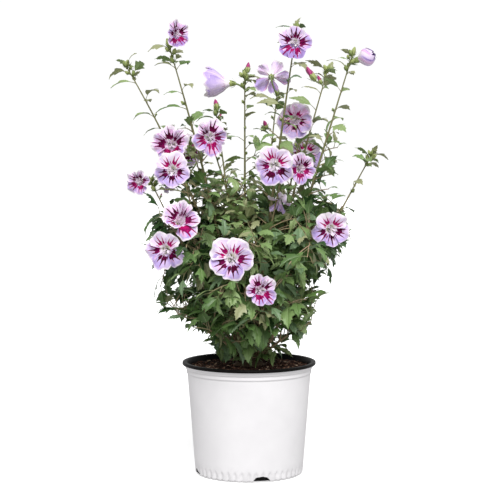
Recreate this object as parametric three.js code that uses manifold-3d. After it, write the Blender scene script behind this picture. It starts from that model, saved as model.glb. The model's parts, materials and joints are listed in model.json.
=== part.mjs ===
// Rose of Sharon (Hibiscus syriacus): a flowering shrub in its nursery pot.
// Millimetres, +Z up. The origin is the centre of the pot's flat underside, and the front is towards -Y.
// Canes and low boughs fan out of one woody crown. Each limb is bare up to a leafy mass of its own: a tall
// flowering shoot above the bush, or a leafy branch inside it.
import * as THREE from "three";
import { mergeVertices } from "three/addons/utils/BufferGeometryUtils.js";
import Module from "manifold-3d";

const wasm = await Module();
wasm.setup();

const { lerp, degToRad } = THREE.MathUtils;

// ---- Driving dimensions ----

const TURN = 2 * Math.PI;
const GOLDEN_ANGLE = degToRad(137.5); // from each leaf to the next, round the twig
const CLEARANCE = 0.4; // between pieces that touch
const ROOM = 0.5; // kept free round each leaf, twig and bloom
const FUSING_TOLERANCE = 0.06; // how far simplifying a fused piece may move its surface
const SHORTEST_EDGE = 0.02;

const POT = {
  height: 236,
  rimRadius: 140,
  lipDrop: 6,
  lipInset: 8, // how far the bead stands inside the lip
  lipWidth: 9,
  beadDrop: 15, // from the rim to the bead's foot
  collarDrop: 24, // from the rim to the collar's foot
  collarStep: 1.3,
  footRadius: 113,
  footChamfer: [2, 3],
  taper: 0.078, // radius gained for each millimetre of height
  wall: 2,
  floor: 3,
  sides: 36,
};
// The drains round the pot's foot.
const NOTCH = { count: 4, firstTurn: -76.5, radius: 21, height: 12, depth: 9, sides: 16 };
const SOIL = { depthBelowRim: 11, mound: 3, moundShare: 0.5 };
const CROWN = {
  height: 26,
  flareRadius: 38,
  waistRadius: 28,
  waistHeight: 10,
  headRadius: 31,
  headHeight: 19,
  topRadius: 22,
  limbHeight: 12, // where the limbs' axes start
  sides: 12,
};

const LIMB = { sides: 5, stepLength: 64, flare: 0.15, flareSpan: 0.08, taperPower: 0.85 };
const TWIG = { sides: 3, stepLength: 70, tipRadius: 1.1 };
const LEAF = {
  widthShare: 0.62,
  widestAt: 0.4,
  thicknessShare: 0.016,
  foldShare: 0.05,
  sunkShare: 0.2, // how far its root goes past the twig's axis, as a share of the twig's radius
  sizeSpread: [0.8, 1.12],
  forward: [0.1, 0.6], // how much it points the way the twig does
  tipForward: 2.2, // the same for the leaf at the twig's tip
  droop: [-1.05, -0.12], // how far it hangs, from the steepest to the flattest
  roll: 0.4,
  endMargin: 4, // from the last leaf's root to the twig's end
};
const PETALS = 5;
const BLOOM = { thickness: 1.5, throat: 5, innerAt: 0.45, innerLift: 14, notch: 0.82, stalkRadius: 1.2 };
const BUD = { sides: 4, widestAt: 0.42, radius: 6.5, length: [22, 30], sunk: 3, spread: 1.1, lift: [-5, 40] };

// The tall flowering shoots. foot is the place on the crown, or the parent limb and how far along it the
// fork is. lean and rise say where the middle of the curve is, as shares of the way out and up. Of each
// bloom, at is the place along the leafy stem, centre is where the petals meet, facing is [turn from +X,
// lift] in degrees, petal is the petals' length and cup is their angle out of the flower's plane.
const SHOOTS = [
  {
    name: "far_left", foot: [-22, 5], tip: [-260, 59, 856], lean: 0.14, rise: 0.43, radius: 4.6, buds: 3,
    blooms: [],
  },
  {
    name: "left_tall", foot: [-12, -20], tip: [-163, -70, 892], lean: 0.36, rise: 0.5, radius: 4.8, buds: 2,
    blooms: [{ at: 1, centre: [-149, -84, 904], facing: [-60, 8], petal: 22, cup: 30 }],
  },
  {
    name: "left_back", foot: [-13, 18], tip: [-71, 110, 758], lean: 0.3, rise: 0.5, radius: 4.2, buds: 1,
    blooms: [],
  },
  {
    name: "middle", foot: [-8, -4], tip: [-9, -10, 832], lean: 0.6, rise: 0.45, radius: 4.6, buds: 3,
    blooms: [{ at: 0.92, centre: [-36, -18, 814], facing: [184, 4], petal: 60, cup: 66 }],
  },
  {
    name: "back", foot: [4, 9], tip: [60, 120, 796], lean: 0.4, rise: 0.45, radius: 4.4, buds: 1,
    blooms: [{ at: 1, centre: [56, 118, 822], facing: [-140, 40], petal: 40, cup: 42 }],
  },
  {
    name: "centre_tall", foot: [8, -6], tip: [97, -60, 928], lean: 0.34, rise: 0.42, radius: 5.2, buds: 3,
    blooms: [{ at: 0.9, centre: [93, -80, 896], facing: [-100, 14], petal: 36, cup: 14 }],
  },
  {
    name: "right_back", foot: [16, 16], tip: [168, 100, 848], lean: 0.32, rise: 0.43, radius: 4.6, buds: 2,
    blooms: [{ at: 0.64, centre: [104, 40, 758], facing: [-118, -32], petal: 42, cup: 34 }],
  },
  {
    name: "right_tall", foot: [21, -9], tip: [213, -30, 876], lean: 0.42, rise: 0.42, radius: 5.2, buds: 2,
    blooms: [{ at: 0.96, centre: [226, -30, 866], facing: [-18, 16], petal: 27, cup: 58 }],
  },
  {
    name: "far_right", foot: [23, 4], tip: [258, 40, 668], lean: 0.4, rise: 0.4, radius: 4.2, buds: 1,
    blooms: [],
  },
  {
    name: "left_low", foot: [-21, -8], tip: [-206, 18, 612], lean: 0.42, rise: 0.42, radius: 3.8, buds: 1,
    blooms: [{ at: 0.96, centre: [-222, -2, 613], facing: [-122, 4], petal: 26, cup: 22 }],
  },
  {
    name: "left_front", foot: ["left_low", 0.25], tip: [-154, -66, 700], lean: 0.34, rise: 0.4, radius: 3.2,
    buds: 0,
    blooms: [
      { at: 1, centre: [-156, -68, 688], facing: [-97, 12], petal: 39, cup: 20 },
      { at: 0.82, centre: [-148, -108, 646], facing: [-100, 0], petal: 39, cup: 16 },
    ],
  },
  {
    name: "left_inner", foot: ["middle", 0.36], tip: [-80, -62, 704], lean: 0.36, rise: 0.45, radius: 3.2,
    buds: 0,
    blooms: [{ at: 1, centre: [-80, -74, 706], facing: [-92, 8], petal: 36, cup: 20 }],
  },
  {
    name: "front", foot: ["centre_tall", 0.2], tip: [74, -96, 660], lean: 0.3, rise: 0.45, radius: 3.2,
    buds: 1,
    blooms: [
      { at: 0.94, centre: [50, -110, 650], facing: [-97, 4], petal: 41, cup: 15 },
      { at: 0.97, centre: [112, -84, 644], facing: [-66, 6], petal: 32, cup: 24 },
    ],
  },
  {
    name: "rear_left", foot: ["left_back", 0.18], tip: [-128, 172, 690], lean: 0.36, rise: 0.42, radius: 3.2,
    buds: 1,
    blooms: [
      { at: 0.95, centre: [-132, 190, 676], facing: [110, 8], petal: 40, cup: 18 },
      { at: 0.8, centre: [-164, 142, 616], facing: [160, 4], petal: 36, cup: 20 },
    ],
  },
  {
    name: "rear_right", foot: ["right_back", 0.32], tip: [112, 182, 706], lean: 0.36, rise: 0.42, radius: 3.2,
    buds: 2,
    blooms: [{ at: 0.92, centre: [120, 198, 668], facing: [72, 6], petal: 41, cup: 17 }],
  },
];

// The leafy branches of the bush, in a low ring and a high one. turn is the way each one points, in
// degrees from +X, and reach and height are where it ends.
const BRANCHES = [
  { name: "low_right", foot: [16, -22], turn: 348, reach: 158, height: 332, blooms: [] },
  { name: "low_rear_right", foot: [7, 26], turn: 48, reach: 150, height: 346, blooms: [] },
  {
    name: "low_rear_left", foot: [-6, 27], turn: 112, reach: 150, height: 336,
    blooms: [{ at: 1, centre: [-62, 170, 352], facing: [110, 8], petal: 36, cup: 20 }],
  },
  { name: "low_left", foot: [-24, 15], turn: 176, reach: 160, height: 338, blooms: [] },
  { name: "low_left_front", foot: [-22, -20], turn: 232, reach: 140, height: 318, blooms: [] },
  {
    name: "low_front", foot: [4, -25], turn: 284, reach: 156, height: 384,
    blooms: [{ at: 1, centre: [26, -176, 402], facing: [-82, 6], petal: 32, cup: 26 }],
  },
  { name: "high_right", foot: ["right_back", 0.24], turn: 17, reach: 172, height: 478, blooms: [] },
  {
    name: "high_right_front", foot: ["right_tall", 0.26], turn: 318, reach: 176, height: 502,
    blooms: [{ at: 1, centre: [156, -118, 522], facing: [-70, -6], petal: 40, cup: 14 }],
  },
  {
    name: "high_front", foot: ["middle", 0.26], turn: 262, reach: 164, height: 460,
    blooms: [{ at: 1, centre: [-32, -178, 470], facing: [-94, 6], petal: 49, cup: 12 }],
  },
  {
    name: "high_left_front", foot: ["left_tall", 0.3], turn: 216, reach: 178, height: 492,
    blooms: [
      { at: 1, centre: [-160, -116, 486], facing: [-106, 2], petal: 39, cup: 16 },
      { at: 0.8, centre: [-128, -108, 540], facing: [-62, 30], petal: 43, cup: 28 },
    ],
  },
  {
    name: "high_rear_left", foot: ["left_back", 0.28], turn: 138, reach: 172, height: 482,
    blooms: [{ at: 1, centre: [-134, 128, 498], facing: [140, 6], petal: 40, cup: 17 }],
  },
  {
    name: "high_rear", foot: ["back", 0.26], turn: 72, reach: 168, height: 492,
    blooms: [{ at: 1, centre: [58, 172, 510], facing: [74, 4], petal: 42, cup: 15 }],
  },
];
const BRANCH = { lean: 0.5, rise: 0.72, radius: 3.1, buds: 0, bareShare: 0.34 };
const SHOOT = { bareHeight: 484, bareShare: 0.22 }; // where the leafy part starts, at least

// How each kind of leafy mass is dressed: its leaves' length and the gap between them, from its start to
// its tip, and its side twigs, which stand between two shares of its stem.
const DRESS = {
  shoot: { leaf: [80, 52], gap: [28, 48], twigs: 2, twigSpan: [0.02, 0.2], twigLength: [90, 66] },
  branch: { leaf: [84, 72], gap: [34, 34], twigs: 6, twigSpan: [0.06, 0.86], twigLength: [112, 76] },
};
const FIRST_LEAF = { stem: 0.03, sideTwig: 0.12 };
const SIDE_TWIG = {
  lengthSpread: [0.85, 1.15],
  slimmer: 0.6,
  rise: 0.25,
  forward: 0.7,
  sag: 0.24,
  leafGap: 38,
  leafShare: 0.95, // its leaves' length, as a share of those on the stem
  attempts: 4,
};

// What each repeatable draw is for, so that no two draws are alike.
const DRAW = { start: 1, forward: 2, droop: 3, rollX: 4, rollY: 5, size: 6 };
const BUD_DRAW = { turn: 7, lift: 8, size: 9 };
const TWIG_DRAW = { turn: 11, size: 12 };
const KEY_STEP = { twig: 101, attempt: 7, sideTwig: 31, leaf: 61 };

const FINISH = {
  pot: { color: 0xf2f1f4, roughness: 0.35 },
  soil: { color: 0x2b1c16, roughness: 0.95 },
  wood: { color: 0x8d7354, roughness: 0.9 },
  cane: { color: 0x7f7a55, roughness: 0.8 },
  foliage: { color: 0x3f6134, roughness: 0.6 },
  shoot: { color: 0x55723c, roughness: 0.6 },
};

// ---- Small helpers ----

const vector = (x, y, z) => new THREE.Vector3(x, y, z);

// A repeatable number from 0 to 1 for each list of whole numbers.
function chance(...keys) {
  let hash = 2166136261;
  for (const key of keys) {
    hash = Math.imul(hash ^ key, 16777619) >>> 0;
    hash = (hash ^ (hash >>> 15)) >>> 0;
    hash = Math.imul(hash, 2246822519) >>> 0;
    hash = (hash ^ (hash >>> 13)) >>> 0;
  }
  return hash / 4294967296;
}

// A repeatable number from low to high.
function between(low, high, ...keys) {
  return low + (high - low) * chance(...keys);
}

// The way that a turn from +X and a lift above level point, in degrees.
function direction(turn, lift) {
  const [a, b] = [turn, lift].map(degToRad);
  return vector(Math.cos(a) * Math.cos(b), Math.sin(a) * Math.cos(b), Math.sin(b));
}

// Two directions square to w and to each other. The second is as near to up as it can be.
function acrossFrom(w) {
  const isUpright = Math.abs(w.z) > Math.cos(degToRad(20));
  const pole = isUpright ? vector(0, 1, 0) : vector(0, 0, 1);
  const u = pole.clone().cross(w).normalize();
  return [u, w.clone().cross(u)];
}

// The point at an angle round a centre, in the plane of two directions.
function pointRound(centre, [u, v], angle, radius) {
  return centre
    .clone()
    .addScaledVector(u, radius * Math.cos(angle))
    .addScaledVector(v, radius * Math.sin(angle));
}

// A closed solid from points and triangles.
function solidOf(points, triangles) {
  const vertProperties = new Float32Array(points.flatMap((point) => point.toArray()));
  const triVerts = new Uint32Array(triangles.flat());
  return new wasm.Manifold(new wasm.Mesh({ numProp: 3, vertProperties, triVerts }));
}

// A closed solid from a three.js geometry.
function solidOfGeometry(geometry) {
  const bare = new THREE.BufferGeometry();
  bare.setAttribute("position", geometry.getAttribute("position"));
  bare.setIndex(geometry.getIndex());
  const merged = mergeVertices(bare, 1e-3);
  const vertProperties = new Float32Array(merged.attributes.position.array);
  const triVerts = new Uint32Array(merged.index.array);
  return new wasm.Manifold(new wasm.Mesh({ numProp: 3, vertProperties, triVerts }));
}

// The main piece of a solid: scraps are dropped, and hollows that the fusing sealed are filled.
function mainPiece(solid) {
  return solid.decompose().reduce((a, b) => (b.volume() > a.volume() ? b : a));
}

// ---- Limbs and twigs ----

// A part of a curve as straight lengths, which is the line that a limb or twig of flat faces follows.
function jointed(curve, start, end, stepLength) {
  const steps = Math.max(1, Math.round(((end - start) * curve.getLength()) / stepLength));
  const pointAt = (step) => curve.getPointAt(lerp(start, end, step / steps));
  const path = new THREE.CurvePath();
  for (let step = 0; step < steps; step++) {
    path.add(new THREE.LineCurve3(pointAt(step), pointAt(step + 1)));
  }
  return path;
}

// A closed tube with flat sides along a jointed path. radiusAt gives its radius at each share of the length.
function tube(path, radiusAt, sides) {
  const lengths = [0, ...path.getCurveLengths()];
  const points = [];
  const triangles = [];
  for (const length of lengths) {
    const t = length / path.getLength();
    const across = acrossFrom(path.getTangentAt(t));
    for (let side = 0; side < sides; side++) {
      points.push(pointRound(path.getPointAt(t), across, (TURN * side) / sides, radiusAt(t)));
    }
  }
  const last = points.length - sides;
  for (let ring = 0; ring < last; ring += sides) {
    for (let side = 0; side < sides; side++) {
      const [a, b] = [ring + side, ring + ((side + 1) % sides)];
      triangles.push([a, b, b + sides], [a, b + sides, a + sides]);
    }
  }
  for (let side = 1; side < sides - 1; side++) {
    triangles.push([0, side + 1, side], [last, last + side, last + side + 1]);
  }
  return solidOf(points, triangles);
}

const groundLevel = POT.height - SOIL.depthBelowRim + SOIL.mound + CLEARANCE;
const limbs = new Map(); // by name: each limb's curve, bare solid, and the sleeve that others keep clear of

// A curve from foot to tip whose middle is drawn to the shares lean (outwards) and rise (upwards) of the way.
function limbCurve(foot, tip, lean, rise) {
  const middle = vector(lerp(foot.x, tip.x, lean), lerp(foot.y, tip.y, lean), lerp(foot.z, tip.z, rise));
  return new THREE.QuadraticBezierCurve3(foot, middle, tip);
}

// The radius of a limb at a share t of its length: a slight flare at the foot and a slender tip.
function limbRadius(limb, t) {
  const flare = 1 + LIMB.flare * Math.max(0, 1 - t / LIMB.flareSpan);
  return lerp(limb.radius, TWIG.tipRadius, t ** LIMB.taperPower) * flare;
}

// The share of a rising curve's length at which it reaches a height.
function shareAtHeight(curve, height) {
  let [low, high] = [0, 1];
  while (high - low > 1e-4) {
    const middle = (low + high) / 2;
    if (curve.getPointAt(middle).z < height) low = middle;
    else high = middle;
  }
  return low;
}

// One limb: its curve from the crown or from a fork in its parent, and its bare part cut clear of its bearer.
function growLimb(spec, crown) {
  const parent = limbs.get(spec.foot[0]);
  const foot = parent
    ? parent.curve.getPointAt(spec.foot[1])
    : vector(...spec.foot, groundLevel + CROWN.limbHeight);
  const curve = limbCurve(foot, vector(...spec.tip), spec.lean, spec.rise);
  const bare = spec.bareShare ?? Math.max(SHOOT.bareShare, shareAtHeight(curve, SHOOT.bareHeight));
  const path = jointed(curve, 0, bare, LIMB.stepLength);
  const bareTube = (extra) => tube(path, (t) => limbRadius(spec, t * bare) + extra, LIMB.sides);
  const bearer = parent ?? crown;
  const solid = mainPiece(bareTube(0).subtract(bearer.sleeve));
  limbs.set(spec.name, { ...spec, curve, bare, solid, sleeve: bareTube(CLEARANCE) });
}

// A leafy branch of the bush, as a limb.
function branchSpec(branch) {
  const end = direction(branch.turn, 0).multiplyScalar(branch.reach);
  return { ...BRANCH, ...branch, tip: [end.x, end.y, branch.height] };
}

// ---- Leaves, blooms and buds ----

// A leaf blade of eight faces, from its root along the way it points, folded a little along its midrib.
function leafBlade(root, along, up, length, grow = 0) {
  const side = along.clone().cross(up).normalize();
  const lift = side.clone().cross(along);
  const width = (length * LEAF.widthShare) / 2 + grow;
  const waist = root.clone().addScaledVector(along, length * LEAF.widestAt);
  const keel = waist.clone().addScaledVector(lift, -length * LEAF.foldShare);
  const half = (length * LEAF.thicknessShare) / 2 + grow;
  const points = [
    root.clone().addScaledVector(along, -grow),
    waist.clone().addScaledVector(side, width),
    root.clone().addScaledVector(along, length + grow),
    waist.clone().addScaledVector(side, -width),
    keel.clone().addScaledVector(lift, half),
    keel.clone().addScaledVector(lift, -half),
  ];
  const triangles = [];
  for (let i = 0; i < 4; i++) {
    triangles.push([i, (i + 1) % 4, 4], [(i + 1) % 4, i, 5]);
  }
  return solidOf(points, triangles);
}

// A bloom of five petals as one thin cup: a throat, an inner ring and a lobed outer edge.
function bloomCup({ centre, facing, petal, cup }, grow = 0) {
  const way = direction(...facing);
  const across = acrossFrom(way);
  const heart = vector(...centre);
  const half = BLOOM.thickness / 2 + grow;
  // The point so far along a petal, at an angle round the flower, with the petal lifted by some degrees.
  const petalPoint = (angle, along, lift, offset) => {
    const open = degToRad(lift);
    return pointRound(heart, across, angle, along * Math.cos(open)).addScaledVector(
      way,
      along * Math.sin(open) + offset,
    );
  };
  const points = [half, -BLOOM.throat].map((offset) => heart.clone().addScaledVector(way, offset));
  for (const offset of [half, -half]) {
    for (let i = 0; i < PETALS; i++) {
      const middle = (TURN * (i + 0.5)) / PETALS;
      points.push(petalPoint(middle, petal * BLOOM.innerAt, cup + BLOOM.innerLift, offset));
    }
  }
  const edgePoints = PETALS * 3; // a notch and the two shoulders of each petal
  for (let i = 0; i < edgePoints; i++) {
    const along = (i % 3 === 0 ? BLOOM.notch : 1) * (petal + grow);
    points.push(petalPoint((TURN * i) / edgePoints, along, cup, 0));
  }
  const edge = points.length - edgePoints;
  const triangles = [];
  for (const [hub, ring, isBack] of [
    [0, 2, false],
    [1, 2 + PETALS, true],
  ]) {
    const face = (a, b, c) => triangles.push(isBack ? [a, c, b] : [a, b, c]);
    for (let p = 0; p < PETALS; p++) {
      const [inner, nextInner] = [ring + p, ring + ((p + 1) % PETALS)];
      const [notch, left, right, nextNotch] = [0, 1, 2, 3].map((i) => edge + ((p * 3 + i) % edgePoints));
      face(hub, inner, nextInner);
      face(inner, notch, left);
      face(inner, left, right);
      face(inner, right, nextNotch);
      face(inner, nextNotch, nextInner);
    }
  }
  return solidOf(points, triangles);
}

// A pointed bud, from its foot along the way it points.
function budSpindle(foot, along, length) {
  const across = acrossFrom(along);
  const waist = foot.clone().addScaledVector(along, length * BUD.widestAt);
  const points = [foot, foot.clone().addScaledVector(along, length)];
  const triangles = [];
  for (let side = 0; side < BUD.sides; side++) {
    points.push(pointRound(waist, across, (TURN * side) / BUD.sides, BUD.radius));
    const [a, b] = [2 + side, 2 + ((side + 1) % BUD.sides)];
    triangles.push([0, b, a], [1, a, b]);
  }
  return solidOf(points, triangles);
}

// ---- Room between the masses ----

const placed = []; // every piece so far: its solid and its box

function boxOf(solid) {
  const { min, max } = solid.boundingBox();
  return new THREE.Box3(vector(...min), vector(...max));
}

// Takes up room with a piece that no later piece may meet, apart from those that it bears.
function takeRoom(solid) {
  const piece = { solid, box: boxOf(solid) };
  placed.push(piece);
  return piece;
}

// Adds a piece to a mass if its guard, a slightly larger copy, meets nothing but the pieces that bear it.
// It gives back the piece, or null where there is no room.
function place(mass, solid, guard, ...bearers) {
  const box = boxOf(guard);
  const meets = (other) =>
    !bearers.includes(other) && other.box.intersectsBox(box) && !other.solid.intersect(guard).isEmpty();
  if (placed.some(meets)) return null;
  mass.pieces.push(solid);
  return takeRoom(solid);
}

// ---- Masses ----

// Hangs a leaf on a twig at a share of its length, on one of its flat sides. Its tip hangs down, and where
// it has no room it tries the other sides. forward is how much it points the way the twig does.
function hangLeaf(mass, twig, t, turn, forward, length, key) {
  const tangent = twig.path.getTangentAt(t);
  const across = acrossFrom(tangent);
  const tilt = [DRAW.rollX, DRAW.rollY].map((draw) => between(-LEAF.roll, LEAF.roll, key, draw));
  const up = vector(...tilt, 1).normalize();
  const firstSide = Math.round((turn / TURN) * TWIG.sides);
  for (let side = firstSide; side < firstSide + TWIG.sides; side++) {
    const along = pointRound(vector(0, 0, 0), across, (TURN * (side + 0.5)) / TWIG.sides, 1)
      .addScaledVector(tangent, forward)
      .add(vector(0, 0, between(...LEAF.droop, key, side, DRAW.droop)))
      .normalize();
    const root = twig.path.getPointAt(t).addScaledVector(along, -twig.radiusAt(t) * LEAF.sunkShare);
    const guard = leafBlade(root, along, up, length, ROOM);
    if (place(mass, leafBlade(root, along, up, length), guard, twig.piece)) return;
  }
}

// Hangs leaves along a twig, from one share of its length to its tip, and one at the tip itself. Each
// turns on from the last by the golden angle.
function hangLeaves(mass, twig, from, gaps, lengths, key) {
  const total = twig.path.getLength();
  const end = 1 - LEAF.endMargin / total;
  const start = TURN * chance(key, DRAW.start);
  let t = from;
  for (let i = 0; t < end; i++) {
    const share = (t - from) / (1 - from);
    const length = lerp(...lengths, share) * between(...LEAF.sizeSpread, key, i, DRAW.size);
    const forward = between(...LEAF.forward, key, i, DRAW.forward);
    hangLeaf(mass, twig, t, start + GOLDEN_ANGLE * i, forward, length, key * KEY_STEP.leaf + i);
    t += lerp(...gaps, share) / total;
  }
  hangLeaf(mass, twig, end, start, LEAF.tipForward, lengths[1], key * KEY_STEP.leaf - 1);
}

// A bloom on a stalk that leaves the stem and bends round to the back of the flower.
function growBloom(mass, bloom) {
  const { path, piece: bearer } = mass.stem;
  const from = path.getPointAt(Math.min(1 - LEAF.endMargin / path.getLength(), bloom.at));
  const way = direction(...bloom.facing);
  const seat = vector(...bloom.centre).addScaledVector(way, -BLOOM.throat / 2);
  const elbow = seat.clone().addScaledVector(way, -from.distanceTo(seat) / 2);
  const stalkPath = jointed(new THREE.QuadraticBezierCurve3(from, elbow, seat), 0, 1, TWIG.stepLength);
  const stalk = tube(stalkPath, () => BLOOM.stalkRadius, TWIG.sides);
  const stalkPiece = place(mass, stalk, stalk, bearer);
  place(mass, bloomCup(bloom), bloomCup(bloom), stalkPiece, bearer);
}

// The stem, blooms and buds of a limb's leafy part. They come before any leaves, which then keep clear.
function growStem(limb, key) {
  const start = limb.bare + CLEARANCE / limb.curve.getLength();
  const path = jointed(limb.curve, start, 1, LIMB.stepLength);
  const radiusAt = (t) => limbRadius(limb, lerp(start, 1, t));
  const piece = takeRoom(tube(path, radiusAt, TWIG.sides));
  const mass = { pieces: [piece.solid], stem: { path, radiusAt, piece } };
  for (const bloom of limb.blooms) {
    growBloom(mass, bloom);
  }
  const tangent = path.getTangentAt(1);
  const foot = path.getPointAt(1).addScaledVector(tangent, -BUD.sunk);
  for (let i = 0; i < limb.buds; i++) {
    const turn = between(0, 360, key, i, BUD_DRAW.turn);
    const spread = direction(turn, between(...BUD.lift, key, i, BUD_DRAW.lift));
    const along = tangent.clone().addScaledVector(spread, i > 0 ? BUD.spread : 0).normalize();
    const bud = budSpindle(foot, along, between(...BUD.length, key, i, BUD_DRAW.size));
    place(mass, bud, bud, piece);
  }
  return mass;
}

// One side twig of a mass, or null where it has no room. It leaves its stem upwards and sags to its tip.
function growSideTwig(mass, t, fullLength, key) {
  const { stem } = mass;
  const foot = stem.path.getPointAt(t);
  const tangent = stem.path.getTangentAt(t);
  const way = pointRound(vector(0, 0, 0), acrossFrom(tangent), TURN * chance(key, TWIG_DRAW.turn), 1)
    .add(vector(0, 0, SIDE_TWIG.rise))
    .addScaledVector(tangent, SIDE_TWIG.forward)
    .normalize();
  const length = fullLength * between(...SIDE_TWIG.lengthSpread, key, TWIG_DRAW.size);
  const middle = foot.clone().addScaledVector(way, length / 2);
  const tip = foot.clone().addScaledVector(way, length).add(vector(0, 0, -length * SIDE_TWIG.sag));
  const path = jointed(new THREE.QuadraticBezierCurve3(foot, middle, tip), 0, 1, TWIG.stepLength);
  const footRadius = Math.max(TWIG.tipRadius, stem.radiusAt(t) * SIDE_TWIG.slimmer);
  const radiusAt = (share) => lerp(footRadius, TWIG.tipRadius, share);
  const guard = tube(path, (share) => radiusAt(share) + ROOM, TWIG.sides);
  const piece = place(mass, tube(path, radiusAt, TWIG.sides), guard, stem.piece);
  return piece && { path, radiusAt, piece };
}

// The side twigs and leaves of a mass, by the sizes of its kind.
function dressMass(mass, dress, key) {
  const lengths = dress.leaf.map((leaf) => leaf * SIDE_TWIG.leafShare);
  for (let i = 0; i < dress.twigs; i++) {
    const share = i / (dress.twigs - 1);
    let twig = null;
    for (let attempt = 0; attempt < SIDE_TWIG.attempts && !twig; attempt++) {
      const twigKey = key * KEY_STEP.twig + i * KEY_STEP.attempt + attempt;
      twig = growSideTwig(mass, lerp(...dress.twigSpan, share), lerp(...dress.twigLength, share), twigKey);
    }
    if (twig) {
      const gaps = [SIDE_TWIG.leafGap, SIDE_TWIG.leafGap];
      hangLeaves(mass, twig, FIRST_LEAF.sideTwig, gaps, lengths, key * KEY_STEP.sideTwig + i);
    }
  }
  hangLeaves(mass, mass.stem, FIRST_LEAF.stem, dress.gap, dress.leaf, key);
}

// ---- Pot, soil and crown ----

const bodyRadius = (z) => POT.footRadius + POT.taper * z;

// A solid turned round the Z axis from a profile of [radius, height] points that starts and ends on the axis.
function lathe(profile, sides) {
  const points = profile.map(([radius, z]) => new THREE.Vector2(radius, z));
  return solidOfGeometry(new THREE.LatheGeometry(points, sides).rotateX(Math.PI / 2));
}

// The tapered pot with its stepped collar and lip, open at the top, with drain notches round its foot.
function potSolid() {
  const beadFoot = POT.height - POT.beadDrop;
  const collarFoot = POT.height - POT.collarDrop;
  const beadRadius = POT.rimRadius - POT.lipInset;
  const [chamferIn, chamferUp] = POT.footChamfer;
  const pot = lathe(
    [
      [0, 0],
      [POT.footRadius - chamferIn, 0],
      [POT.footRadius, chamferUp],
      [bodyRadius(collarFoot), collarFoot],
      [bodyRadius(beadFoot) + POT.collarStep, collarFoot + POT.collarStep],
      [beadRadius, beadFoot],
      [beadRadius, POT.height - POT.lipDrop],
      [POT.rimRadius, POT.height - POT.lipDrop],
      [POT.rimRadius, POT.height],
      [POT.rimRadius - POT.lipWidth, POT.height],
      [bodyRadius(beadFoot) - POT.wall, beadFoot],
      [bodyRadius(POT.floor) - POT.wall, POT.floor],
      [0, POT.floor],
    ],
    POT.sides,
  );
  const notches = [];
  for (let i = 0; i < NOTCH.count; i++) {
    const turn = NOTCH.firstTurn + (360 * i) / NOTCH.count;
    const seat = direction(turn, 0).multiplyScalar(POT.footRadius);
    const arch = new THREE.CylinderGeometry(NOTCH.radius, NOTCH.radius, 2 * NOTCH.depth, NOTCH.sides)
      .rotateZ(Math.PI / 2 + degToRad(turn))
      .translate(seat.x, seat.y, NOTCH.height - NOTCH.radius);
    notches.push(solidOfGeometry(arch));
  }
  return pot.subtract(wasm.Manifold.union(notches));
}

// The potting mix: it fills the pot to just under its lip and rises a little to the crown.
function soilSolid() {
  const base = POT.floor + CLEARANCE;
  const top = POT.height - SOIL.depthBelowRim;
  const radiusAt = (z) => bodyRadius(z) - POT.wall - CLEARANCE;
  return lathe(
    [
      [0, base],
      [radiusAt(base), base],
      [radiusAt(top), top],
      [radiusAt(top) * SOIL.moundShare, top + SOIL.mound],
      [0, top + SOIL.mound],
    ],
    POT.sides,
  );
}

// The woody crown, cut flat at ground level, flared at its foot and swollen where the limbs leave it.
function crownSolid(extra = 0) {
  const profile = [
    [0, -extra],
    [CROWN.flareRadius + extra, -extra],
    [CROWN.waistRadius + extra, CROWN.waistHeight],
    [CROWN.headRadius + extra, CROWN.headHeight],
    [CROWN.topRadius + extra, CROWN.height + extra],
    [0, CROWN.height + extra],
  ];
  return lathe(profile, CROWN.sides).translate(0, 0, groundLevel);
}

// ---- The whole plant ----

// A fused solid with its crumbs gone: where an edge is very short, its two ends become one point.
function weld(solid) {
  const { vertProperties, triVerts, numProp } = solid.simplify(FUSING_TOLERANCE).getMesh();
  const points = [];
  for (let i = 0; i < vertProperties.length; i += numProp) {
    points.push(vector(...vertProperties.subarray(i, i + 3)));
  }
  const standIn = points.map((_, index) => index);
  const find = (index) => (standIn[index] === index ? index : find(standIn[index]));
  const triangles = [];
  for (let i = 0; i < triVerts.length; i += 3) {
    const corners = Array.from(triVerts.subarray(i, i + 3));
    triangles.push(corners);
    corners.forEach((a, corner) => {
      const b = corners[(corner + 1) % 3];
      if (points[a].distanceTo(points[b]) < SHORTEST_EDGE) standIn[find(a)] = find(b);
    });
  }
  const kept = triangles.map((corners) => corners.map(find)).filter((corners) => new Set(corners).size === 3);
  return solidOf(points, kept);
}

// A solid as a named mesh in its own material.
function nodeMesh(name, solid, finish) {
  const { vertProperties, triVerts } = mainPiece(weld(solid)).getMesh();
  const geometry = new THREE.BufferGeometry();
  geometry.setAttribute("position", new THREE.BufferAttribute(vertProperties, 3));
  geometry.setIndex(new THREE.BufferAttribute(triVerts, 1));
  const mesh = new THREE.Mesh(geometry, new THREE.MeshStandardMaterial({ ...finish, metalness: 0 }));
  mesh.name = name;
  return mesh;
}

const crown = { solid: crownSolid(), sleeve: crownSolid(CLEARANCE) };
for (const spec of [...SHOOTS, ...BRANCHES.map(branchSpec)]) {
  growLimb(spec, crown);
}
const sleeves = [...limbs.values()].map((limb) => limb.sleeve);
[crown.sleeve, soilSolid(), potSolid(), ...sleeves].forEach(takeRoom);

const plant = new THREE.Group();
plant.add(nodeMesh("pot", potSolid(), FINISH.pot));
plant.add(nodeMesh("soil", soilSolid(), FINISH.soil));
plant.add(nodeMesh("crown", crown.solid, FINISH.wood));

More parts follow.
